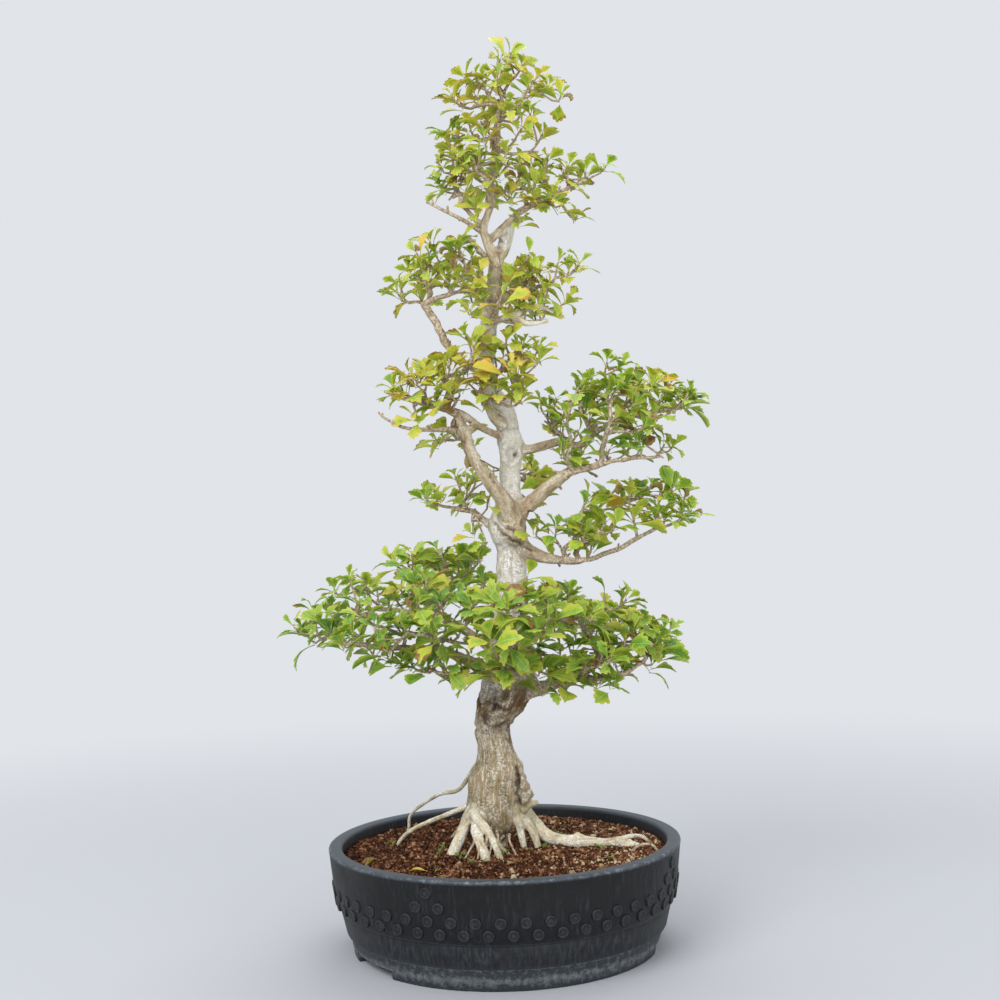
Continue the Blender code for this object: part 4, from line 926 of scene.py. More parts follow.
bark, tree, shader = newMaterial("paleBark", 0.84)
place = addNode(tree, "ShaderNodeTexCoord").outputs["Object"]
height = addNode(tree, "ShaderNodeSeparateXYZ", None, {0: place}).outputs["Z"]
grain = addNode(tree, "ShaderNodeAttribute", {"attribute_name": "grain"}).outputs["Vector"]
rootShare, limbShare, paleShare, hollowShadeAndScar, rugged = [
    addNode(tree, "ShaderNodeAttribute", {"attribute_name": name}).outputs["Fac"]
    for name in ("rootShare", "limbShare", "paleShare", "hollowShadeAndScar", "rugged")]
squat, drawn, flat = [addNode(tree, "ShaderNodeMapping", None, {"Vector": grain, "Scale": (1, 1, stretch)})
                      for stretch in (0.5, 0.1, 1.7)]
mottle = addNode(tree, "ShaderNodeTexNoise", None,  # blotches 5 to 8 mm across
                 {"Vector": squat, "Scale": 130.0, "Detail": 6.0, "Roughness": 0.62})
threads = addNode(tree, "ShaderNodeTexNoise", None,  # upright pale streaks 2 mm wide
                  {"Vector": drawn, "Scale": 420.0, "Detail": 4.0, "Roughness": 0.6})
specks = addNode(tree, "ShaderNodeTexNoise", None,  # corky specks, drawn at 1 mm so that they show
                 {"Vector": squat, "Scale": 700.0, "Detail": 4.0, "Roughness": 0.7})
clouds = addNode(tree, "ShaderNodeTexNoise", None,
                 {"Vector": place, "Scale": 42.0, "Detail": 5.0, "Roughness": 0.55})
levels = addNode(tree, "ShaderNodeTexNoise", None,  # its middle level runs as short cracks, 3 mm apart
                 {"Vector": flat, "Scale": 210.0, "Detail": 3.0, "Roughness": 0.55})
offLevel = addNode(tree, "ShaderNodeMath", {"operation": "SUBTRACT"}, {0: levels, 1: 0.5})
cells = addNode(tree, "ShaderNodeMath", {"operation": "ABSOLUTE"}, {0: offLevel})

# Shares of each stain and layer: value, where it starts, where it is full, and how strong it gets
shares = {}
for name, value, start, end, full in (
        ("streak", threads, 0.52, 0.64, 0.85), ("crack", cells, 0.05, 0.01, 1.0),
        ("patch", mottle, 0.4, 0.56, 1.0), ("rough", height, 0.7, 0.2, 0.8),
        ("green", clouds, 0.46, 0.62, 0.5), ("base", height, 0.26, 0.12, 1.0),
        ("tan", clouds, 0.5, 0.68, 0.28), ("cork", specks, 0.43, 0.33, 0.6),
        ("torn", mottle, 0.6, 0.44, 0.95), ("vein", threads, 0.44, 0.34, 0.4)):
    shares[name] = addNode(tree, "ShaderNodeMapRange", smooth,
                           {"Value": value, "From Min": start, "From Max": end, "To Max": full})
shares["young"] = addNode(tree, "ShaderNodeMapRange", None,
                          {"Value": rootShare, "To Min": 1.0, "To Max": 0.5})
shares["rugged"] = rugged
# Shares that hold only where another does too: cracks low down, in patches and less on young roots
for name, one, other in (("crack", "crack", "patch"), ("crack", "crack", "rough"),
                         ("crack", "crack", "young"), ("damp", "green", "base"),
                         ("torn", "rugged", "torn")):
    shares[name] = addNode(tree, "ShaderNodeMath", product, {0: shares[one], 1: shares[other]})

# Bark of each part of the tree in blotches, from dark to pale; the same noise raises the bump, so the dark
# end is also painted shade in its hollows and the pale end a painted highlight on its ridges
barkTones = {"low": ("#86704F", "#AE9B7B", "#CCBFA5", "#EAE2D0"),
             "upper": ("#BDB19B", "#DED7C9", "#F0EDE5", "#FAF8F4"),
             "root": ("#AA946E", "#DDD0B2", "#F0E9D6", "#FAF6EC"),
             "limb": ("#86705A", "#B6A184", "#D2C4A8", "#E9DFCD")}
tones = {}
for name, codes in barkTones.items():
    tones[name] = addNode(tree, "ShaderNodeValToRGB", None, {"Fac": mottle})
    setRamp(tones[name], tuple(zip((0.3, 0.43, 0.54, 0.68), codes)))
colour = tones["low"]
for share, layer in ((shares["streak"], hexColour("#F2EBDC")), (paleShare, tones["upper"]),
                     (rootShare, tones["root"]), (limbShare, tones["limb"])):
    colour = addNode(tree, "ShaderNodeMix", mixColour, {0: share, 6: colour, 7: layer})
# Algae low down on damp patches, tan and brown stains, corky specks, cracks and torn places, then painted
# shade in the scars, grooves and creases, with some of the scars' own darker wood
for share, stain in ((shares["damp"], "#A9AB85"), (shares["tan"], "#C2AE86"), (shares["vein"], "#A48F70"),
                     (shares["cork"], "#7E6848"), (shares["crack"], "#8A6C48"), (shares["torn"], "#9A825F"),
                     (hollowShadeAndScar, "#4A3826")):
    colour = addNode(tree, "ShaderNodeMix", stainColour, {0: share, 6: colour, 7: hexColour(stain)})
reliefParts = addNode(tree, "ShaderNodeCombineXYZ", None, {0: mottle, 1: specks, 2: shares["crack"]})
relief = addNode(tree, "ShaderNodeVectorMath", {"operation": "DOT_PRODUCT"},
                 {0: reliefParts, 1: (1.3, 1.0, -0.7)})
bump = addNode(tree, "ShaderNodeBump", None, {"Strength": 0.9, "Distance": 1.3 * mm, "Height": relief})
feed(tree, shader, {"Base Color": colour, "Normal": bump})
trunk.data.materials.append(bark)
done(trunk, ["trunk"])
print("trunk and roots")


# Leaves: small, wedge-shaped at the base and toothed or lobed towards the tip, soft green going yellow.
# Each outline is a row of stations from the stalk to the tip: place on the rib, and the edge's place and
# half width.
leafOutlines = {
    "lobed": ((-0.22, -0.22, 0.016), (0.0, 0.0, 0.024), (0.15, 0.17, 0.12), (0.3, 0.33, 0.21),
              (0.4, 0.45, 0.3), (0.46, 0.55, 0.35), (0.51, 0.62, 0.32), (0.55, 0.61, 0.23),
              (0.65, 0.74, 0.23), (0.72, 0.8, 0.17), (0.77, 0.8, 0.11), (0.88, 0.91, 0.07), (1.0, 1.0, 0.0)),
    "fan": ((-0.22, -0.22, 0.016), (0.0, 0.0, 0.024), (0.2, 0.22, 0.11), (0.38, 0.43, 0.21),
            (0.48, 0.55, 0.31), (0.54, 0.65, 0.36), (0.6, 0.73, 0.32), (0.65, 0.71, 0.23),
            (0.74, 0.85, 0.22), (0.8, 0.91, 0.15), (0.85, 0.88, 0.09), (0.93, 0.95, 0.06), (1.0, 1.0, 0.0)),
    "narrow": ((-0.28, -0.28, 0.015), (0.0, 0.0, 0.022), (0.22, 0.26, 0.08), (0.4, 0.48, 0.15),
               (0.5, 0.6, 0.22), (0.57, 0.66, 0.2), (0.6, 0.66, 0.15), (0.7, 0.8, 0.19),
               (0.78, 0.86, 0.15), (0.82, 0.86, 0.09), (0.93, 0.96, 0.06), (1.0, 1.0, 0.0)),
    "oval": ((-0.18, -0.18, 0.018), (0.0, 0.0, 0.034), (0.2, 0.22, 0.17), (0.4, 0.42, 0.28),
             (0.52, 0.57, 0.33), (0.61, 0.68, 0.33), (0.67, 0.7, 0.28), (0.76, 0.83, 0.26),
             (0.84, 0.88, 0.2), (0.93, 0.95, 0.12), (1.0, 1.0, 0.0)),
}
# The kinds of leaf: outline, arch along the rib in radians, fold up from the rib, and twist towards the tip
leafKinds = (("fan", 0.7, 0.3, 0.2), ("lobed", 1.2, 0.15, -0.3), ("narrow", 0.9, 0.5, 0.3),
             ("oval", 0.5, 0.35, -0.2), ("fan", 1.1, -0.15, -0.15), ("lobed", 0.8, 0.3, 0.15),
             ("narrow", 1.5, 0.35, -0.5), ("lobed", 2.1, 0.8, 0.9), ("oval", 2.5, 1.1, -0.8))
curledKinds = 2  # the last kinds are for dry leaves that have curled up
ribThickness = 0.016


def leafModel(outline, arch, fold, twist):
    # A closed blade of length 1: thickest at the rib and sharp at the edge, with its stalk
    verts, part = [], []
    for rib, edge, width in leafOutlines[outline]:
        for across, along in ((-width, edge), (0.0, rib), (width, edge)):
            bent = arch * max(along, 0.0)
            ahead = math.sin(bent) / arch if along > 0 else along
            drop = (1 - math.cos(bent)) / arch
            turn = twist * along
            high = fold * abs(across)
            up = Vector((0, math.sin(bent), math.cos(bent)))
            spot = Vector((across * math.cos(turn) - high * math.sin(turn), ahead, -drop))
            verts.append(spot + up * (high * math.cos(turn) + across * math.sin(turn)))
            part.append((across, along, 0.0 if across == 0 else 1.0))
    verts[-3:] = [verts[-2]]
    part[-3:] = [(0.0, 1.0, 1.0)]
    tip = len(verts) - 1
    under = {}
    for k in range(1, tip, 3):
        under[k] = len(verts)
        verts.append(verts[k] - Vector((0, 0, ribThickness * (1.6 if k == 1 else 1.0))))
        part.append(part[k])
    faces = [(0, 1, 2), (2, under[1], 0)]
    for k in range(0, tip - 3, 3):
        after = k + 3
        faces += [(k, after, after + 1, k + 1), (k + 1, after + 1, after + 2, k + 2),
                  (k, under[k + 1], under[after + 1], after),
                  (under[k + 1], k + 2, after + 2, under[after + 1])]
    last = tip - 3
    faces += [(last, tip, last + 1), (last + 1, tip, last + 2),
              (last, under[last + 1], tip), (under[last + 1], last + 2, tip)]
    leaf = meshObject("leaf", [v / mm for v in verts], [tuple(reversed(face)) for face in faces])
    giveValues(leaf.data, "leafPart", "FLOAT_VECTOR", part)
    sharp = leaf.data.attributes.new("sharp_edge", "BOOLEAN", "EDGE")
    sharp.data.foreach_set("value", [all(part[v][2] == 1 for v in edge.vertices)
                                     for edge in leaf.data.edges])
    for owner in list(leaf.users_collection):
        owner.objects.unlink(leaf)
    return leaf


leafModels = bpy.data.collections.new("leafModels")
for kind in leafKinds:
    leafModels.objects.link(leafModel(*kind))

# Living leaf: soft and thin, so that light passes through it, with a faint waxy sheen
leafMaterial, tree, shader = newMaterial("softLeaf", 0.52, 1.42)
tint, dry = [addNode(tree, "ShaderNodeAttribute", {"attribute_name": name}).outputs["Fac"]
             for name in ("leafTint", "leafDry")]
leafPart = addNode(tree, "ShaderNodeAttribute", {"attribute_name": "leafPart"}).outputs["Vector"]
across, along, edgeShare = addNode(tree, "ShaderNodeSeparateXYZ", None, {0: leafPart}).outputs
place = addNode(tree, "ShaderNodeTexCoord").outputs["Object"]
mottle = addNode(tree, "ShaderNodeTexNoise", None, {"Vector": place, "Scale": 130.0, "Detail": 3.0})
fine = addNode(tree, "ShaderNodeTexNoise", None, {"Vector": place, "Scale": 900.0, "Detail": 2.0})
# The edge yellows first, and the parts of the tone are weighed together
edgeYellow = addNode(tree, "ShaderNodeMath", {"operation": "POWER"}, {0: edgeShare, 1: 2.0})
toneParts = addNode(tree, "ShaderNodeCombineXYZ", None, {0: tint, 1: mottle, 2: edgeYellow})
toneSum = addNode(tree, "ShaderNodeVectorMath", {"operation": "DOT_PRODUCT"},
                  {0: toneParts, 1: (1.0, 0.5, 0.3)})
tone = addNode(tree, "ShaderNodeMapRange", None, {"Value": toneSum, "From Min": 0.32, "From Max": 1.32})
greens = addNode(tree, "ShaderNodeValToRGB", None, {"Fac": tone})
setRamp(greens, ((0.0, "#27551C"), (0.2, "#467925"), (0.4, "#71982B"), (0.58, "#9BAF34"), (0.76, "#BCB83C"),
                 (0.94, "#D6AE44")))
# Veins: the rib and side veins that run forward from it, a little paler
sideways = addNode(tree, "ShaderNodeMath", {"operation": "ABSOLUTE"}, {0: across})
veinParts = addNode(tree, "ShaderNodeCombineXYZ", None, {0: along, 1: sideways})
veinPhase = addNode(tree, "ShaderNodeVectorMath", {"operation": "DOT_PRODUCT"},
                    {0: veinParts, 1: (8.5, -7.0, 0.0)})
veinWave = addNode(tree, "ShaderNodeMath", {"operation": "PINGPONG"}, {0: veinPhase, 1: 0.5})
veinLine = addNode(tree, "ShaderNodeMapRange", smooth,
                   {"Value": veinWave, "From Min": 0.02, "From Max": 0.12, "To Min": 0.18, "To Max": 0.0})
ribLine = addNode(tree, "ShaderNodeMapRange", smooth,
                  {"Value": sideways, "From Min": 0.008, "From Max": 0.026, "To Min": 0.32, "To Max": 0.0})
veins = addNode(tree, "ShaderNodeMath", {"operation": "MAXIMUM"}, {0: veinLine, 1: ribLine})
veined = addNode(tree, "ShaderNodeMix", mixColour, {0: veins, 6: greens, 7: hexColour("#CFD88A")})
# Dry leaves go brown and crisp from the tip and the edge inwards
dryParts = addNode(tree, "ShaderNodeCombineXYZ", None, {0: along, 1: edgeShare, 2: mottle})
drySum = addNode(tree, "ShaderNodeVectorMath", {"operation": "DOT_PRODUCT"},
                 {0: dryParts, 1: (0.42, 0.3, 0.62)})
browning = addNode(tree, "ShaderNodeMath", {"operation": "ADD"}, {0: drySum, 1: dry})
brownShare = addNode(tree, "ShaderNodeMapRange", smooth,
                     {"Value": browning, "From Min": 1.26, "From Max": 1.42})
browns = addNode(tree, "ShaderNodeValToRGB", None, {"Fac": fine})
setRamp(browns, ((0.3, "#4A2812"), (0.5, "#744722"), (0.7, "#A07242")))
leafColour = addNode(tree, "ShaderNodeMix", mixColour, {0: brownShare, 6: veined, 7: browns})
quilt = addNode(tree, "ShaderNodeBump", {"invert": True},
                {"Strength": 0.6, "Distance": 1.0 * mm, "Height": veins})
feed(tree, shader, {"Base Color": leafColour, "Normal": quilt, "Subsurface Weight": 0.3,
                    "Subsurface Radius": (1.0, 1.3, 0.3), "Subsurface Scale": 1.2 * mm})

# Twig bark: thin and dull, red-brown on young wood and tan on old
twigMaterial, tree, shader = newMaterial("twigBark", 0.8)
place = addNode(tree, "ShaderNodeTexCoord").outputs["Object"]
thickness = addNode(tree, "ShaderNodeAttribute", {"attribute_name": "twigRadius"}).outputs["Fac"]
streaks = addNode(tree, "ShaderNodeTexNoise", None, {"Vector": place, "Scale": 420.0, "Detail": 4.0})
tanRamp = addNode(tree, "ShaderNodeValToRGB", None, {"Fac": streaks})
setRamp(tanRamp, ((0.3, "#756450"), (0.48, "#A8957B"), (0.66, "#D0C2AB")))
youngRamp = addNode(tree, "ShaderNodeValToRGB", None, {"Fac": streaks})
setRamp(youngRamp, ((0.3, "#745C48"), (0.5, "#A28872"), (0.7, "#C2AE92")))
old = addNode(tree, "ShaderNodeMapRange", None,
              {"Value": thickness, "From Min": 0.7 * mm, "From Max": 1.5 * mm})
aged = addNode(tree, "ShaderNodeMix", mixColour, {0: old, 6: youngRamp, 7: tanRamp})
roughBark = addNode(tree, "ShaderNodeBump", None,
                    {"Strength": 0.6, "Distance": 0.5 * mm, "Height": streaks})
feed(tree, shader, {"Base Color": aged, "Normal": roughBark})

# One tree for every spray: edges become twigs and loose points become leaves
stemTree, given, result = addTree("leafyStem", {"Leaves": "Collection", "Twig Sides": "Int",
                                                "Leaf": "Material", "Bark": "Material"})
isLeaf, radius, leafTurn, leafSize, leafKind, isTwig = [
    addNode(stemTree, "GeometryNodeInputNamedAttribute", {"data_type": kind}, {"Name": name})
    for name, kind in (("isLeaf", "BOOLEAN"), ("twigRadius", "FLOAT"), ("leafTurn", "FLOAT_VECTOR"),
                       ("leafSize", "FLOAT"), ("leafKind", "INT"), ("isTwig", "BOOLEAN"))]
leafPoints, twigLines = addNode(stemTree, "GeometryNodeSeparateGeometry", None,
                                {0: given["Geometry"], "Selection": isLeaf}).outputs
lines = addNode(stemTree, "GeometryNodeMeshToCurve", None, {"Mesh": twigLines})
circle = addNode(stemTree, "GeometryNodeCurvePrimitiveCircle", None,
                 {"Resolution": given["Twig Sides"], "Radius": 1.0})
twigs = addNode(stemTree, "GeometryNodeCurveToMesh", None,
                {"Curve": lines, "Profile Curve": circle, "Scale": radius, "Fill Caps": True})
asTwig = addNode(stemTree, "GeometryNodeStoreNamedAttribute", {"data_type": "BOOLEAN", "domain": "POINT"},
                 {"Geometry": twigs, "Name": "isTwig", "Value": True})
models = addNode(stemTree, "GeometryNodeCollectionInfo", None,
                 {"Collection": given["Leaves"], "Separate Children": True, "Reset Children": True})
rotation = addNode(stemTree, "FunctionNodeEulerToRotation", None, {"Euler": leafTurn})
blades = addNode(stemTree, "GeometryNodeInstanceOnPoints", None,
                 {"Points": leafPoints, "Instance": models, "Pick Instance": True,
                  "Instance Index": leafKind, "Rotation": rotation, "Scale": leafSize})
together = addNode(stemTree, "GeometryNodeJoinGeometry", None, {0: asTwig})
feed(stemTree, together, {0: blades})
real = addNode(stemTree, "GeometryNodeRealizeInstances", None, {"Geometry": together})
leafy = addNode(stemTree, "GeometryNodeSetMaterial", None, {"Geometry": real, "Material": given["Leaf"]})
finished = addNode(stemTree, "GeometryNodeSetMaterial", None,
                   {"Geometry": leafy, "Selection": isTwig, "Material": given["Bark"]})
feed(stemTree, result, {0: finished})

# The boughs that carry a spray on from its limb
boughLines = {
    "low_left": (((-92, -38, 303), (-128, -46, 307), (-162, -42, 314)),),
    "low_left_back": (((-58, 50, 326), (-94, 66, 334), (-132, 70, 338)),),
    "low_front": (((22, -76, 308), (22, -104, 320)),),
    "low_right": (((98, -38, 268), (124, -50, 274), (146, -46, 287)),),
    "low_right_back": (((78, 52, 327), (106, 66, 326)),),
    "low_back": (((26, 86, 322), (20, 112, 330)),),
    "small_left": (((-34, 8, 440), (-62, 8, 448)),),
    "right_low": (((91, -10, 385), (122, -15, 395), (166, -20, 417)),
                  ((84, 2, 396), (112, 10, 410), (126, 8, 428))),
    "right_high": (((98, -24, 479), (130, -31, 485), (166, -36, 487)),),
    "right_inner": (((88, -1, 503), (110, -4, 518), (140, -7, 529), (176, -10, 535)),),
    "middle_left": (((-52, -50, 544), (-78, -50, 552)),),
    "middle_back": (((12, 66, 484),),),
    "upper_left": (((-54, -17, 631), (-66, -17, 650)),),
    "upper_front": (((18, -24, 629), (34, -26, 626), (52, -27, 629)),),
    "upper_right": (((46, 4, 667), (66, 2, 671)),),
    "apex_right": (((44, -14, 748), (74, -8, 762), (104, -4, 776)),),
    "apex_crown": (((14, -4, 830), (20, 0, 862)), ((40, 0, 806), (54, 2, 814))),
}
# The outer leaf rosettes of each spray: x and z read from the photo, y for the pad's depth
outerTips = {
    "low_left": ((-208, -18, 322), (-186, -58, 334), (-160, -96, 314), (-150, -42, 350),
                 (-126, -108, 330), (-118, -72, 294), (-108, -50, 364), (-84, -76, 286),
                 (-76, -92, 372), (-64, -132, 322), (-44, -78, 270)),
    "low_left_back": ((-188, 40, 338), (-150, 66, 362), (-128, 108, 344), (-104, 40, 384),
                      (-86, 138, 340), (-66, 34, 392), (-54, 104, 372), (-34, 56, 388)),
    "low_front": ((-26, -112, 346), (-8, -144, 318), (22, -94, 354), (38, -132, 322),
                  (10, -104, 288), (44, -84, 280)),
    "low_right": ((98, -92, 334), (84, -62, 296), (136, -32, 346), (116, -100, 292), (142, -78, 316),
                  (168, -52, 304), (180, -6, 310), (122, -64, 262)),
    "low_right_back": ((86, 58, 350), (82, 108, 330), (116, 84, 338), (122, 30, 324),
                       (118, 118, 306), (152, 34, 320)),
    "low_back": ((-10, 110, 350), (24, 96, 364), (48, 126, 338), (4, 150, 320)),
    "small_left": ((-76, -4, 455), (-64, 18, 456), (-44, -14, 474), (-26, 8, 474), (-30, 0, 416)),
    "right_low": ((104, -14, 446), (128, 24, 450), (148, -22, 452), (182, 4, 450), (200, -14, 430),
                  (98, 26, 418), (128, -48, 418), (172, -38, 428)),
    "right_high": ((98, -28, 560), (84, -48, 532), (134, -44, 556), (172, -28, 558),
                   (158, -58, 516), (184, -18, 500)),
    "right_inner": ((130, 0, 588), (68, 4, 540), (154, 12, 564), (186, 30, 550), (215, -2, 546),
                    (140, 52, 534), (82, 14, 500), (72, 24, 526)),
    "middle_left": ((-106, -52, 562), (-90, -32, 576), (-70, -76, 570), (-84, -68, 532),
                    (-48, -50, 584), (-46, -84, 554), (-44, -24, 516), (-34, -22, 586)),
    "middle_front": ((6, -44, 592), (34, -32, 598), (22, -68, 576), (-12, -56, 566), (40, -54, 558)),
    "middle_back": ((-24, 58, 506), (40, 70, 484), (-8, 90, 488), (36, 98, 480), (48, 36, 478)),
    "upper_left": ((-100, -12, 662), (-86, -32, 680), (-80, 14, 668), (-60, -6, 702), (-42, -24, 706),
                   (-50, 12, 684)),
    "upper_right": ((32, -12, 690), (48, 20, 684), (60, -4, 678), (92, 8, 684)),
    "upper_front": ((26, -34, 646), (56, -34, 642), (88, -22, 650), (-24, -32, 642)),
    "upper_back": ((-22, 50, 668), (12, 64, 674), (36, 44, 664)),
    "apex_left": ((-40, -22, 774), (-34, -34, 796), (-24, -38, 764)),
    "apex_right": ((44, -28, 730), (84, -20, 746), (60, -14, 772), (90, 4, 786), (134, -2, 790)),
    "apex_front": ((16, -46, 776), (-10, -46, 790), (28, -40, 800)),
    "apex_back": ((-16, 38, 794), (18, 44, 800), (44, 30, 788)),
    "apex_crown": ((-38, -8, 828), (-32, 4, 862), (-12, -14, 884), (28, 2, 906), (52, -4, 898),
                   (62, 12, 872), (90, -2, 864), (56, -22, 842), (24, -28, 846), (70, 8, 828),
                   (-4, 26, 846)),
}
# How each part of the tree grows: rosettes drawn beside each placed one, leaf length, tint, share of dry
# leaves, and how far a rosette sits back from its placed leaf tip
growth = {"low": (1.35, 26, 0.39, 0.14, 12), "low_front": (1.3, 30, 0.42, 0.16, 10),
          "small": (0.4, 20, 0.52, 0.2, 5), "right": (0.95, 25, 0.46, 0.2, 10),
          "middle": (0.6, 25, 0.58, 0.36, 10), "upper": (0.7, 24, 0.57, 0.38, 8),
          "apex": (0.75, 23, 0.57, 0.4, 9)}
# Rosettes: how far they are scattered and how far apart, and the room left to the trunk and to the gaps
# Twigs: their step and wobble, how they thicken at a fork, and what a host's distance and forks cost
shoots = {"scatter": (19, 22, 8), "apart": 10.0, "trunkRoom": 16, "gapRoom": 1.1, "tries": 30,
          "step": 7.0, "wobble": 0.13, "boughWobble": 0.8, "bend": 15, "lean": 0.4, "tipRadius": 1.0,
          "fork": 2.3, "pathCost": 0.35, "forkCost": 12, "stubShare": 0.3, "stubLength": (4, 11)}
# Leaves of a rosette: how many, their turn from one to the next, the climb in degrees of the oldest,
# how much more the youngest's and what chance adds, and the shares that are curled or yellow
rosette = {"leaves": (5, 8), "golden": math.radians(137.5), "rise": 9.0, "climb": (20, 52, 14),
           "trunkRoom": 3.0, "gapRoom": 0.9, "fresh": (0.0, 0.2), "dry": (0.34, 0.66),
           "drierLeft": (1.3, 0.9), "curled": 0.08, "curledDry": 0.95, "curledSize": 0.6, "yellow": 0.025}
# Where the photo shows bare wood or sky and no leaf: pixels across, down and radius, in a 1000 pixel square
photoGaps = {"trunkOverLowPad": (511, 562, 22), "trunkUnderHollow": (512, 474, 20),
             "trunkHollow": (512, 446, 14), "insideLeftFork": (488, 450, 14),
             "rightOfTrunk": (531, 412, 16), "overRightLimb": (546, 454, 12), "neckLeft": (490, 698, 16),
             "neckMiddle": (520, 692, 16), "neckLimb": (546, 696, 11), "underPadLeft": (437, 690, 18),
             "underPadMiddle": (422, 672, 9), "underPadRight": (580, 708, 15),
             "underPadFarRight": (634, 700, 15), "overPadRight": (592, 582, 14),
             "overPadFarRight": (612, 586, 9), "overPadLeft": (386, 568, 8),
             "overPadFarLeft": (352, 554, 13), "rightOfPad": (700, 640, 14),
             "underSmallSpray": (438, 528, 13), "overRightSpray": (584, 356, 14),
             "leftOfRightSpray": (560, 374, 14), "underRightTwig": (574, 482, 14),
             "underRightLimb": (560, 503, 12), "betweenRightSprays": (645, 470, 9),
             "rightOfSprays": (708, 440, 14), "rightSprayEnd": (713, 497, 9), "bareStub": (508, 240, 15),
             "underCrownLeft": (455, 226, 12), "underCrownRight": (546, 240, 16),
             "crownFoot": (600, 240, 14), "overCrownArm": (586, 126, 22), "crownArmUnder": (604, 192, 11),
             "crownLeftTwig": (440, 118, 9), "crownLeftFoot": (448, 214, 9), "crownTop": (468, 50, 10),
             "upperRightEnd": (602, 284, 10), "upperRightFoot": (598, 320, 9),
             "upperLeftFoot": (408, 322, 11), "leftLimbFoot": (470, 345, 8),
             "overLeftLimb": (420, 335, 12), "trunkUnderCrown": (494, 262, 12),
             "trunkInUpperSpray": (497, 286, 11), "deadWood": (500, 320, 9), "deadWoodEnd": (535, 321, 8),
             "lowLimbLeft": (442, 409, 7), "lowLimbLeftEnd": (415, 402, 6)}
# More rosettes, read from the photo as the outer ones were
innerTips = {
    "low_left": ((-200, -14, 344), (-160, -20, 372), (-180, -50, 322), (-140, -80, 342), (-100, -100, 330),
                 (-120, -100, 308), (-90, -60, 342), (-60, -100, 350), (-56, -60, 362), (-84, -112, 352),
                 (-40, -104, 330), (-60, -84, 288), (-140, -30, 300), (-24, -96, 318), (-95, -50, 350),
                 (-105, -60, 325), (-30, -110, 305), (-35, -80, 285), (-145, -50, 310), (-95, -70, 290)),
    "low_left_back": ((-182, 30, 362), (-160, 50, 376), (-120, 60, 388), (-98, 20, 396), (-72, 14, 400),
                      (-28, 20, 392), (-140, 90, 356), (-70, 110, 356), (-26, 6, 368)),
    "low_front": ((-4, -120, 302), (-12, -90, 282), (10, -130, 344), (50, -108, 330), (50, -84, 264),
                  (-40, -90, 350), (34, -72, 372), (30, -90, 350)),
    "low_right": ((186, -20, 314), (172, -40, 288), (156, -60, 322), (74, -50, 266), (105, -80, 322),
                  (60, -70, 334), (146, -60, 318), (164, -40, 280), (112, -30, 262), (40, -50, 290),
                  (56, -62, 284), (50, -40, 304), (34, -64, 306), (124, -62, 286), (132, -44, 274),
                  (74, -72, 268), (128, -30, 294), (70, -60, 300), (110, -60, 290), (90, -50, 335),
                  (140, -40, 345), (45, -80, 285)),
    "low_right_back": ((70, 40, 340), (104, 50, 322), (140, 50, 318), (100, 90, 310)),
    "small_left": ((-76, 4, 456), (-36, -4, 449), (-10, -12, 450), (-6, 22, 478), (-16, -8, 404)),
    "right_low": ((170, -10, 460), (192, -8, 457), (206, 0, 450), (210, -8, 432), (150, -20, 430),
                  (118, -16, 441), (72, -10, 418), (52, -10, 416), (106, -24, 400), (140, 10, 440),
                  (174, -30, 434), (182, -20, 424), (90, -30, 415)),
    "right_high": ((162, -30, 512), (192, -22, 498), (95, -34, 512), (80, -36, 496), (152, -52, 540),
                   (130, -54, 526), (96, -14, 482), (172, -44, 530), (208, -30, 550), (155, -50, 500)),
    "right_inner": ((174, -8, 568), (194, 4, 561), (112, -2, 556), (76, -4, 552), (60, 2, 544), (86, 6, 538),
                    (204, -6, 544), (172, 24, 540), (118, 30, 550), (100, 20, 564), (150, -2, 532),
                    (190, 10, 552), (130, -20, 560), (160, -10, 560), (145, 0, 585)),
    "middle_left": ((-30, -40, 614), (-20, -46, 604), (-73, -40, 580), (-52, -60, 572), (-94, -50, 556),
                    (-63, -64, 544), (-37, -70, 558), (-21, -54, 588), (-100, -40, 566)),
    "middle_front": ((21, -40, 610), (42, -36, 605), (57, -30, 599), (56, -48, 586), (8, -60, 556),
                     (-10, -50, 544), (34, -60, 546)),
    "middle_back": ((60, 30, 450), (52, 44, 476), (32, 30, 463)),
    "upper_left": ((-80, -16, 703), (-66, -8, 715), (-36, -18, 718), (-22, -20, 698), (-10, -14, 684),
                   (-98, -20, 670), (-40, -15, 690), (-35, -20, 670), (-50, -30, 675), (-10, -20, 670),
                   (-65, -30, 690)),
    "upper_front": ((-10, -32, 678), (-8, -36, 658), (24, -40, 668), (42, -36, 638), (66, -34, 660)),
    "upper_right": ((80, -8, 690), (102, -4, 688), (22, -14, 666), (44, -18, 672), (66, 14, 670)),
    "apex_left": ((-30, -28, 782), (-14, -30, 746), (-44, -12, 812), (-50, -12, 828), (-54, -18, 792)),
    "apex_right": ((102, -18, 736), (56, -26, 750), (74, -12, 800), (106, 8, 776), (75, -30, 750),
                   (70, -10, 785), (95, -10, 790)),
    "apex_front": ((14, -44, 752), (32, -40, 758), (0, -40, 814), (42, -34, 788)),
    "apex_back": ((0, 32, 764), (32, 36, 768), (60, 24, 802), (-28, 28, 812)),
    "apex_crown": ((3, -18, 878), (24, 16, 880), (66, -14, 882), (-46, 10, 834), (-22, -28, 822),
                   (8, -30, 828), (46, -32, 824), (46, 20, 850), (-40, -8, 866),
                   (-26, -8, 886), (78, 6, 878)),
}
photoView = camera.matrix_world.inverted()
trunkPath = [(place, radius) for kind, line, _ in branches if kind == "trunk" for place, radius in line]


def nearTrunk(place, room):
    return any((place - spot).length < radius + room for spot, radius in trunkPath)


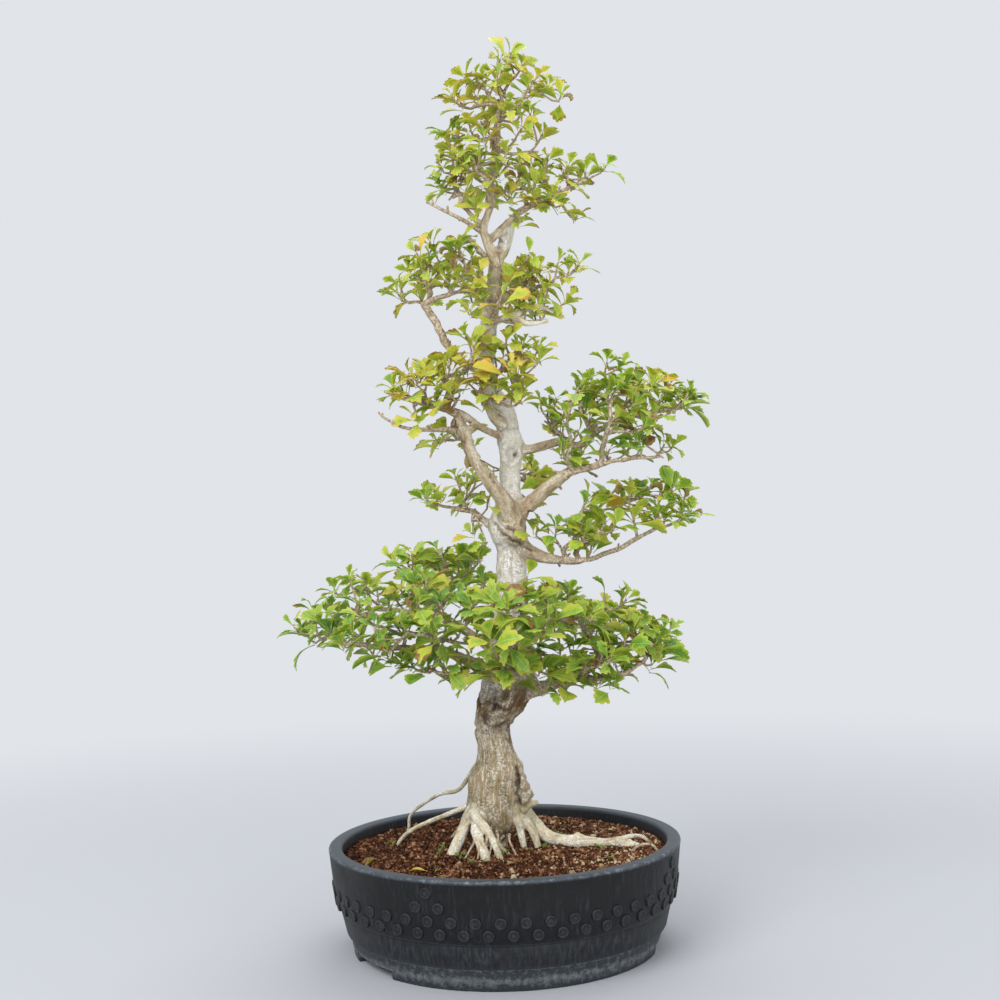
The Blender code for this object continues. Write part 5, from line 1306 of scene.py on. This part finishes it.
def inGap(place, share):
    # Whether a place shows in one of the photo's gaps, each taken at a share of its radius
    seen = photoView @ (place * mm)
    centre = cameraView["photoWidth"] / 2
    across = centre - cameraView["focal"] * seen.x / seen.z
    down = centre + cameraView["focal"] * seen.y / seen.z
    return any(math.hypot(across - x, down - y) < radius * share for x, y, radius in photoGaps.values())


class Knot:
    # A point of a spray's branching
    def __init__(self, place, parent=None):
        self.place = place
        self.parent = parent
        self.children = []
        self.path = 0.0
        self.radius = shoots["tipRadius"]
        if parent:
            self.path = parent.path + (place - parent.place).length
            parent.children.append(self)


def addTwig(host, tip, upright, chance):
    # A twig leaves its host the way the host grows, stays low and bends up into its shoot
    straight = tip - host.place
    span = straight.length
    heading = (host.place - host.parent.place).normalized() if host.parent else straight.normalized()
    out = host.place + (heading * 0.4 + straight.normalized() * 0.6 - Vector((0, 0, 0.15))) * (0.35 * span)
    low = tip - upright * min(0.5 * span, shoots["bend"])
    count = max(2, round(span / shoots["step"]))
    knots = []
    for k in range(1, count + 1):
        t = k / count
        place = (host.place * (1 - t) ** 3 + out * (3 * t * (1 - t) ** 2) + low * (3 * t * t * (1 - t))
                 + tip * t ** 3)
        if k < count:
            place += uniformVector(chance, 1) * (shoots["wobble"] * shoots["step"])
        host = Knot(place, host)
        knots.append(host)
    return knots


def setRadii(knot):
    if knot.children:
        total = sum(setRadii(child) ** shoots["fork"] for child in knot.children)
        knot.radius = total ** (1 / shoots["fork"])
    return knot.radius


def twigChains(start):
    # From each fork the thickest child carries on and the others start chains of their own
    found = []
    waiting = [(start, None)]
    while waiting:
        knot, origin = waiting.pop()
        line = [(knot.place, knot.radius)]
        if origin:
            line.insert(0, (origin.place, min(knot.radius * 1.25, 0.85 * origin.radius)))
        while knot.children:
            ordered = sorted(knot.children, key=lambda child: child.radius, reverse=True)
            waiting += [(other, knot) for other in ordered[1:]]
            knot = ordered[0]
            line.append((knot.place, knot.radius))
        found.append(line)
    return found


def allTips(name, end, extra, back, chance):
    # The placed rosettes, then more drawn round the outer ones, on the side of the limb
    tips = []
    for spot in outerTips[name] + innerTips.get(name, ()):
        middle = Vector(spot)
        tips.append(middle - Vector((middle.x, middle.y, 0)).normalized() * back)
    wanted = len(tips) + round(len(outerTips[name]) * extra)
    for _ in range(wanted * shoots["tries"]):
        if len(tips) >= wanted:
            break
        outer = Vector(chance.choice(outerTips[name]))
        place = outer.lerp(Vector((end.x, end.y, outer.z)), chance.uniform(0.1, 0.65))
        place += Vector([chance.uniform(-reach, reach) for reach in shoots["scatter"]])
        if nearTrunk(place, shoots["trunkRoom"]) or inGap(place, shoots["gapRoom"]):
            continue
        if all((place - other).length >= shoots["apart"] for other in tips):
            tips.append(place)
    return tips


def addLeaves(leaves, tip, upright, looks, chance):
    # A rosette: old leaves low, long and level, young ones short and upright at the top
    size, tint, dryShare = looks
    count = chance.randint(*rosette["leaves"])
    angle = chance.uniform(0, 6.28)
    side = upright.orthogonal().normalized()
    across = upright.cross(side)
    rosetteTint = chance.gauss(tint, 0.07)
    level, steeper, spread = rosette["climb"]
    for k in range(count):
        young = k / (count - 1)
        angle += rosette["golden"] + chance.uniform(-0.3, 0.3)
        climb = math.radians(level + steeper * young + chance.uniform(-spread, spread))
        outward = side * math.cos(angle) + across * math.sin(angle)
        forward = (outward * math.cos(climb) + upright * math.sin(climb)).normalized()
        length = size * (1.08 - 0.5 * young) * chance.uniform(0.8, 1.18)
        base = tip - upright * (rosette["rise"] * (1 - young)) + forward * (0.24 * length)
        leafEnd = base + forward * length
        if nearTrunk(leafEnd, rosette["trunkRoom"]) or nearTrunk(base + forward * length * 0.5, 2):
            continue
        if inGap(base + forward * length * 0.85, rosette["gapRoom"]):
            continue
        up = (upright - forward * forward.dot(upright)).normalized()
        turn = Matrix((forward.cross(up), forward, up)).transposed()
        turn = Matrix.Rotation(chance.gauss(0, 0.3), 3, forward) @ turn
        dry = chance.uniform(*rosette["fresh"])
        kind = chance.randrange(len(leafKinds) - curledKinds)
        left, right = rosette["drierLeft"]
        if chance.random() < dryShare * (left if base.x < -20 else right):
            dry = chance.uniform(*rosette["dry"])
            if chance.random() < rosette["curled"]:
                dry = rosette["curledDry"]
                kind = len(leafKinds) - 1 - chance.randrange(curledKinds)
                length *= rosette["curledSize"]
        leafTint = (rosetteTint + chance.gauss(0, 0.055) + 0.08 * (1 - young)
                    + 0.3 * (chance.random() < rosette["yellow"]))
        leaves.append({"place": base, "leafTurn": tuple(turn.to_euler()), "leafSize": length * mm,
                       "leafKind": kind, "leafTint": leafTint, "leafDry": dry})


def growSpray(name):
    # The branching of one spray as chains of points, and its leaves
    extra, *looks, back = growth.get(name) or growth[name.split("_")[0]]
    chance = random.Random("rose of sharon " + name)
    line = limbLines[name]
    end = Vector(line[-1][:3])
    heading = (end - Vector(line[-2][:3])).normalized()
    start = Knot(end - heading * 2)
    knots = [Knot(end + heading * 6, start)]
    for bough in boughLines.get(name, ()):
        host = min(knots, key=lambda knot: (Vector(bough[0]) - knot.place).length)
        for place, _ in smoothLine([(*host.place, 1)] + [(*spot, 1) for spot in bough], 6)[1:]:
            host = Knot(place + uniformVector(chance, shoots["boughWobble"]), host)
            knots.append(host)
    leaves = []
    for tip in sorted(allTips(name, end, extra, back, chance), key=lambda place: (place - end).length):
        outward = Vector((tip.x, tip.y, 0)).normalized()
        upright = gaussVector(chance, 0.25) + outward * shoots["lean"] + Vector((0, 0, 1))
        upright.normalize()
        # A new twig prefers a host that is close, near the start and not yet forked
        host = min(knots, key=lambda knot: ((tip - knot.place).length + shoots["pathCost"] * knot.path
                                            + shoots["forkCost"] * len(knot.children)))
        knots += addTwig(host, tip, upright, chance)[:-2]
        addLeaves(leaves, tip, upright, looks, chance)
        if chance.random() < shoots["stubShare"]:
            stub = chance.choice(knots)
            away = uniformVector(chance, 1) + Vector((0, 0, 0.4))
            Knot(stub.place + away.normalized() * chance.uniform(*shoots["stubLength"]), stub)
    setRadii(start)
    start.radius = line[-1][3]
    knots[0].radius = max(knots[0].radius, 0.85 * start.radius)
    return twigChains(start), leaves


def stemPiece(name, chains, leaves, replaced):
    # Chains of points and radii as twigs, and leaves by place, turn and size, built into one piece
    verts, edges, radii = [], [], []
    for chain in chains:
        edges += [(len(verts) + k, len(verts) + k + 1) for k in range(len(chain) - 1)]
        verts += [place for place, _ in chain]
        radii += [radius * mm for _, radius in chain]
    twigCount = len(verts)
    verts += [leaf["place"] for leaf in leaves]
    mesh = bpy.data.meshes.new(name)
    mesh.from_pydata([v * mm for v in verts], edges, [])
    giveValues(mesh, "twigRadius", "FLOAT", radii + [0.0] * len(leaves))
    giveValues(mesh, "isLeaf", "BOOLEAN", [False] * twigCount + [True] * len(leaves))
    for label, kind, none in (("leafTurn", "FLOAT_VECTOR", (0, 0, 0)), ("leafKind", "INT", 0),
                              ("leafSize", "FLOAT", 0), ("leafTint", "FLOAT", 0), ("leafDry", "FLOAT", 0)):
        giveValues(mesh, label, kind, [none] * twigCount + [leaf[label] for leaf in leaves])
    source = addObject(name, mesh)
    useTree(source, stemTree, {"Leaves": leafModels, "Twig Sides": 6, "Leaf": leafMaterial,
                               "Bark": twigMaterial})
    piece = asPlainMesh(source, name)
    piece.data.shade_smooth()
    done(piece, replaced)


leafCount = 0
for name in outerTips:
    chains, leaves = growSpray(name)
    stemPiece("leaves" + name.title().replace("_", ""), chains, leaves, ["spray_" + name])
    leafCount += len(leaves)
print("foliage", leafCount, "leaves")


# Bare twigs, pruned stubs and thin rootlets
bareShape = {"tips": {"bare_twig": (), "bare_stub": (), "bare_left": ((-112, -56, 538, 0.8),)}, "step": 4.0,
             "stubs": (("small_left", 1), ("right_low", 3), ("right_high", 4), ("middle_left", 5),
                       ("upper_left", 3), ("low_left", 2), ("right_inner", 1), ("apex_crown", 4)),
             "stubLength": (5, 11), "stubRadius": 1.2, "rootlets": 9, "rootletStep": 3.0,
             # The loop of thin root at the end of the long one: x, y, z and radius
             "loop": ((126, -30, 94, 1.6), (134, -35, 101, 1.6), (146, -39, 102, 1.4), (152, -41, 94, 1.3))}

chains = []
for name, tips in bareShape["tips"].items():
    line = smoothLine(limbLines[name] + tips, bareShape["step"])
    chains.append([(place, radius * 1.05) for place, radius in line])
    chance = random.Random(name)
    for place, radius in line[3::4]:
        away = (uniformVector(chance, 1) + Vector((0, 0, 0.6))).normalized()
        end = place + away * (radius + chance.uniform(2, 6))
        chains.append([(place, radius * 0.9), (end, radius * 0.6)])
chance = random.Random("pruned stubs")
for name, count in bareShape["stubs"]:
    line = smoothLine(limbLines[name], bareShape["step"])
    for _ in range(count):
        place, radius = line[chance.randrange(len(line) // 3, len(line))]
        away = (gaussVector(chance, 1) + Vector((0, -0.3, 0.5))).normalized()
        reach = radius + chance.uniform(*bareShape["stubLength"])
        thick = bareShape["stubRadius"] * chance.uniform(0.7, 1.3)
        chains.append([(place, thick * 1.5), (place + away * radius, thick * 1.2),
                       (place + away * (reach * 0.6 + radius * 0.4), thick),
                       (place + away * reach, thick * 0.9)])
stemPiece("bareTwigs", chains, [], [])
chains = []
chance = random.Random("rootlets")
for _ in range(bareShape["rootlets"]):
    base = Vector((chance.uniform(-42, 16), chance.uniform(-34, -22), chance.uniform(108, 122)))
    land = Vector((base.x * 1.25 + chance.uniform(-8, 8), base.y - chance.uniform(10, 26), 94))
    middle = base.lerp(land, 0.45) + Vector((chance.uniform(-4, 4), -3, 5))
    chains.append(smoothLine([(*base, 1.6), (*middle, 1.2), (*land, 0.9)], bareShape["rootletStep"]))
chains.append(smoothLine(bareShape["loop"], bareShape["rootletStep"]))
stemPiece("rootlets", chains, [], [])

# Fallen leaves on the soil: place, turn in degrees, length, kind of leaf, tint, and how dry
fallen = (((-76, -104, 99.2), (12, -4, 80), 15, 3, 1.05, 0.1),
          ((-66, -104, 98.5), (30, 20, -20), 10, 7, 0.8, 0.9),
          ((-127, -50, 98.5), (10, -15, 130), 17, 8, 0.7, 0.95),
          ((-60, -120, 98), (6, 5, 200), 12, 8, 0.6, 1.0),
          ((96, -70, 98.4), (5, 12, 300), 13, 7, 0.7, 1.0),
          ((-40, 90, 98.4), (-6, 8, 40), 18, 0, 0.9, 0.7))
leaves = [{"place": Vector(place), "leafTurn": [math.radians(angle) for angle in turn],
           "leafSize": length * mm, "leafKind": kind, "leafTint": tint, "leafDry": dry}
          for place, turn, length, kind, tint, dry in fallen]
stemPiece("fallenLeaves", [], leaves, [])

# Moss: tufts of tiny upright blades by the roots and here and there on the soil: x, y, spread and blades
mossShape = {"bladeLength": (2.5, 6.0), "lean": (55, 90), "leafKind": 2,
             "tufts": ((-66, -26, 7, 14), (-62, 2, 8, 10), (-30, -70, 10, 12), (-4, -40, 8, 14),
                       (2, -30, 6, 10), (24, -22, 5, 7), (40, -16, 6, 6), (-44, -44, 8, 10),
                       (98, -24, 9, 8), (-118, 30, 9, 7), (60, 40, 12, 9), (-20, 60, 10, 8))}
leaves = []
chance = random.Random("moss")
for x, y, spread, blades in mossShape["tufts"]:
    for _ in range(blades):
        place = Vector((x + chance.gauss(0, spread / 2), y + chance.gauss(0, spread / 2), 0))
        place.z = soilTop(place.x, place.y)
        turn = (math.radians(chance.uniform(*mossShape["lean"])), 0.0, chance.uniform(0, 6.28))
        leaves.append({"place": place, "leafTurn": turn,
                       "leafSize": chance.uniform(*mossShape["bladeLength"]) * mm,
                       "leafKind": mossShape["leafKind"], "leafTint": chance.uniform(0.0, 0.3),
                       "leafDry": chance.uniform(0.0, 0.5)})
stemPiece("moss", [], leaves, [])
discard(leafModels.objects)
print("bare twigs, rootlets, fallen leaves and moss")
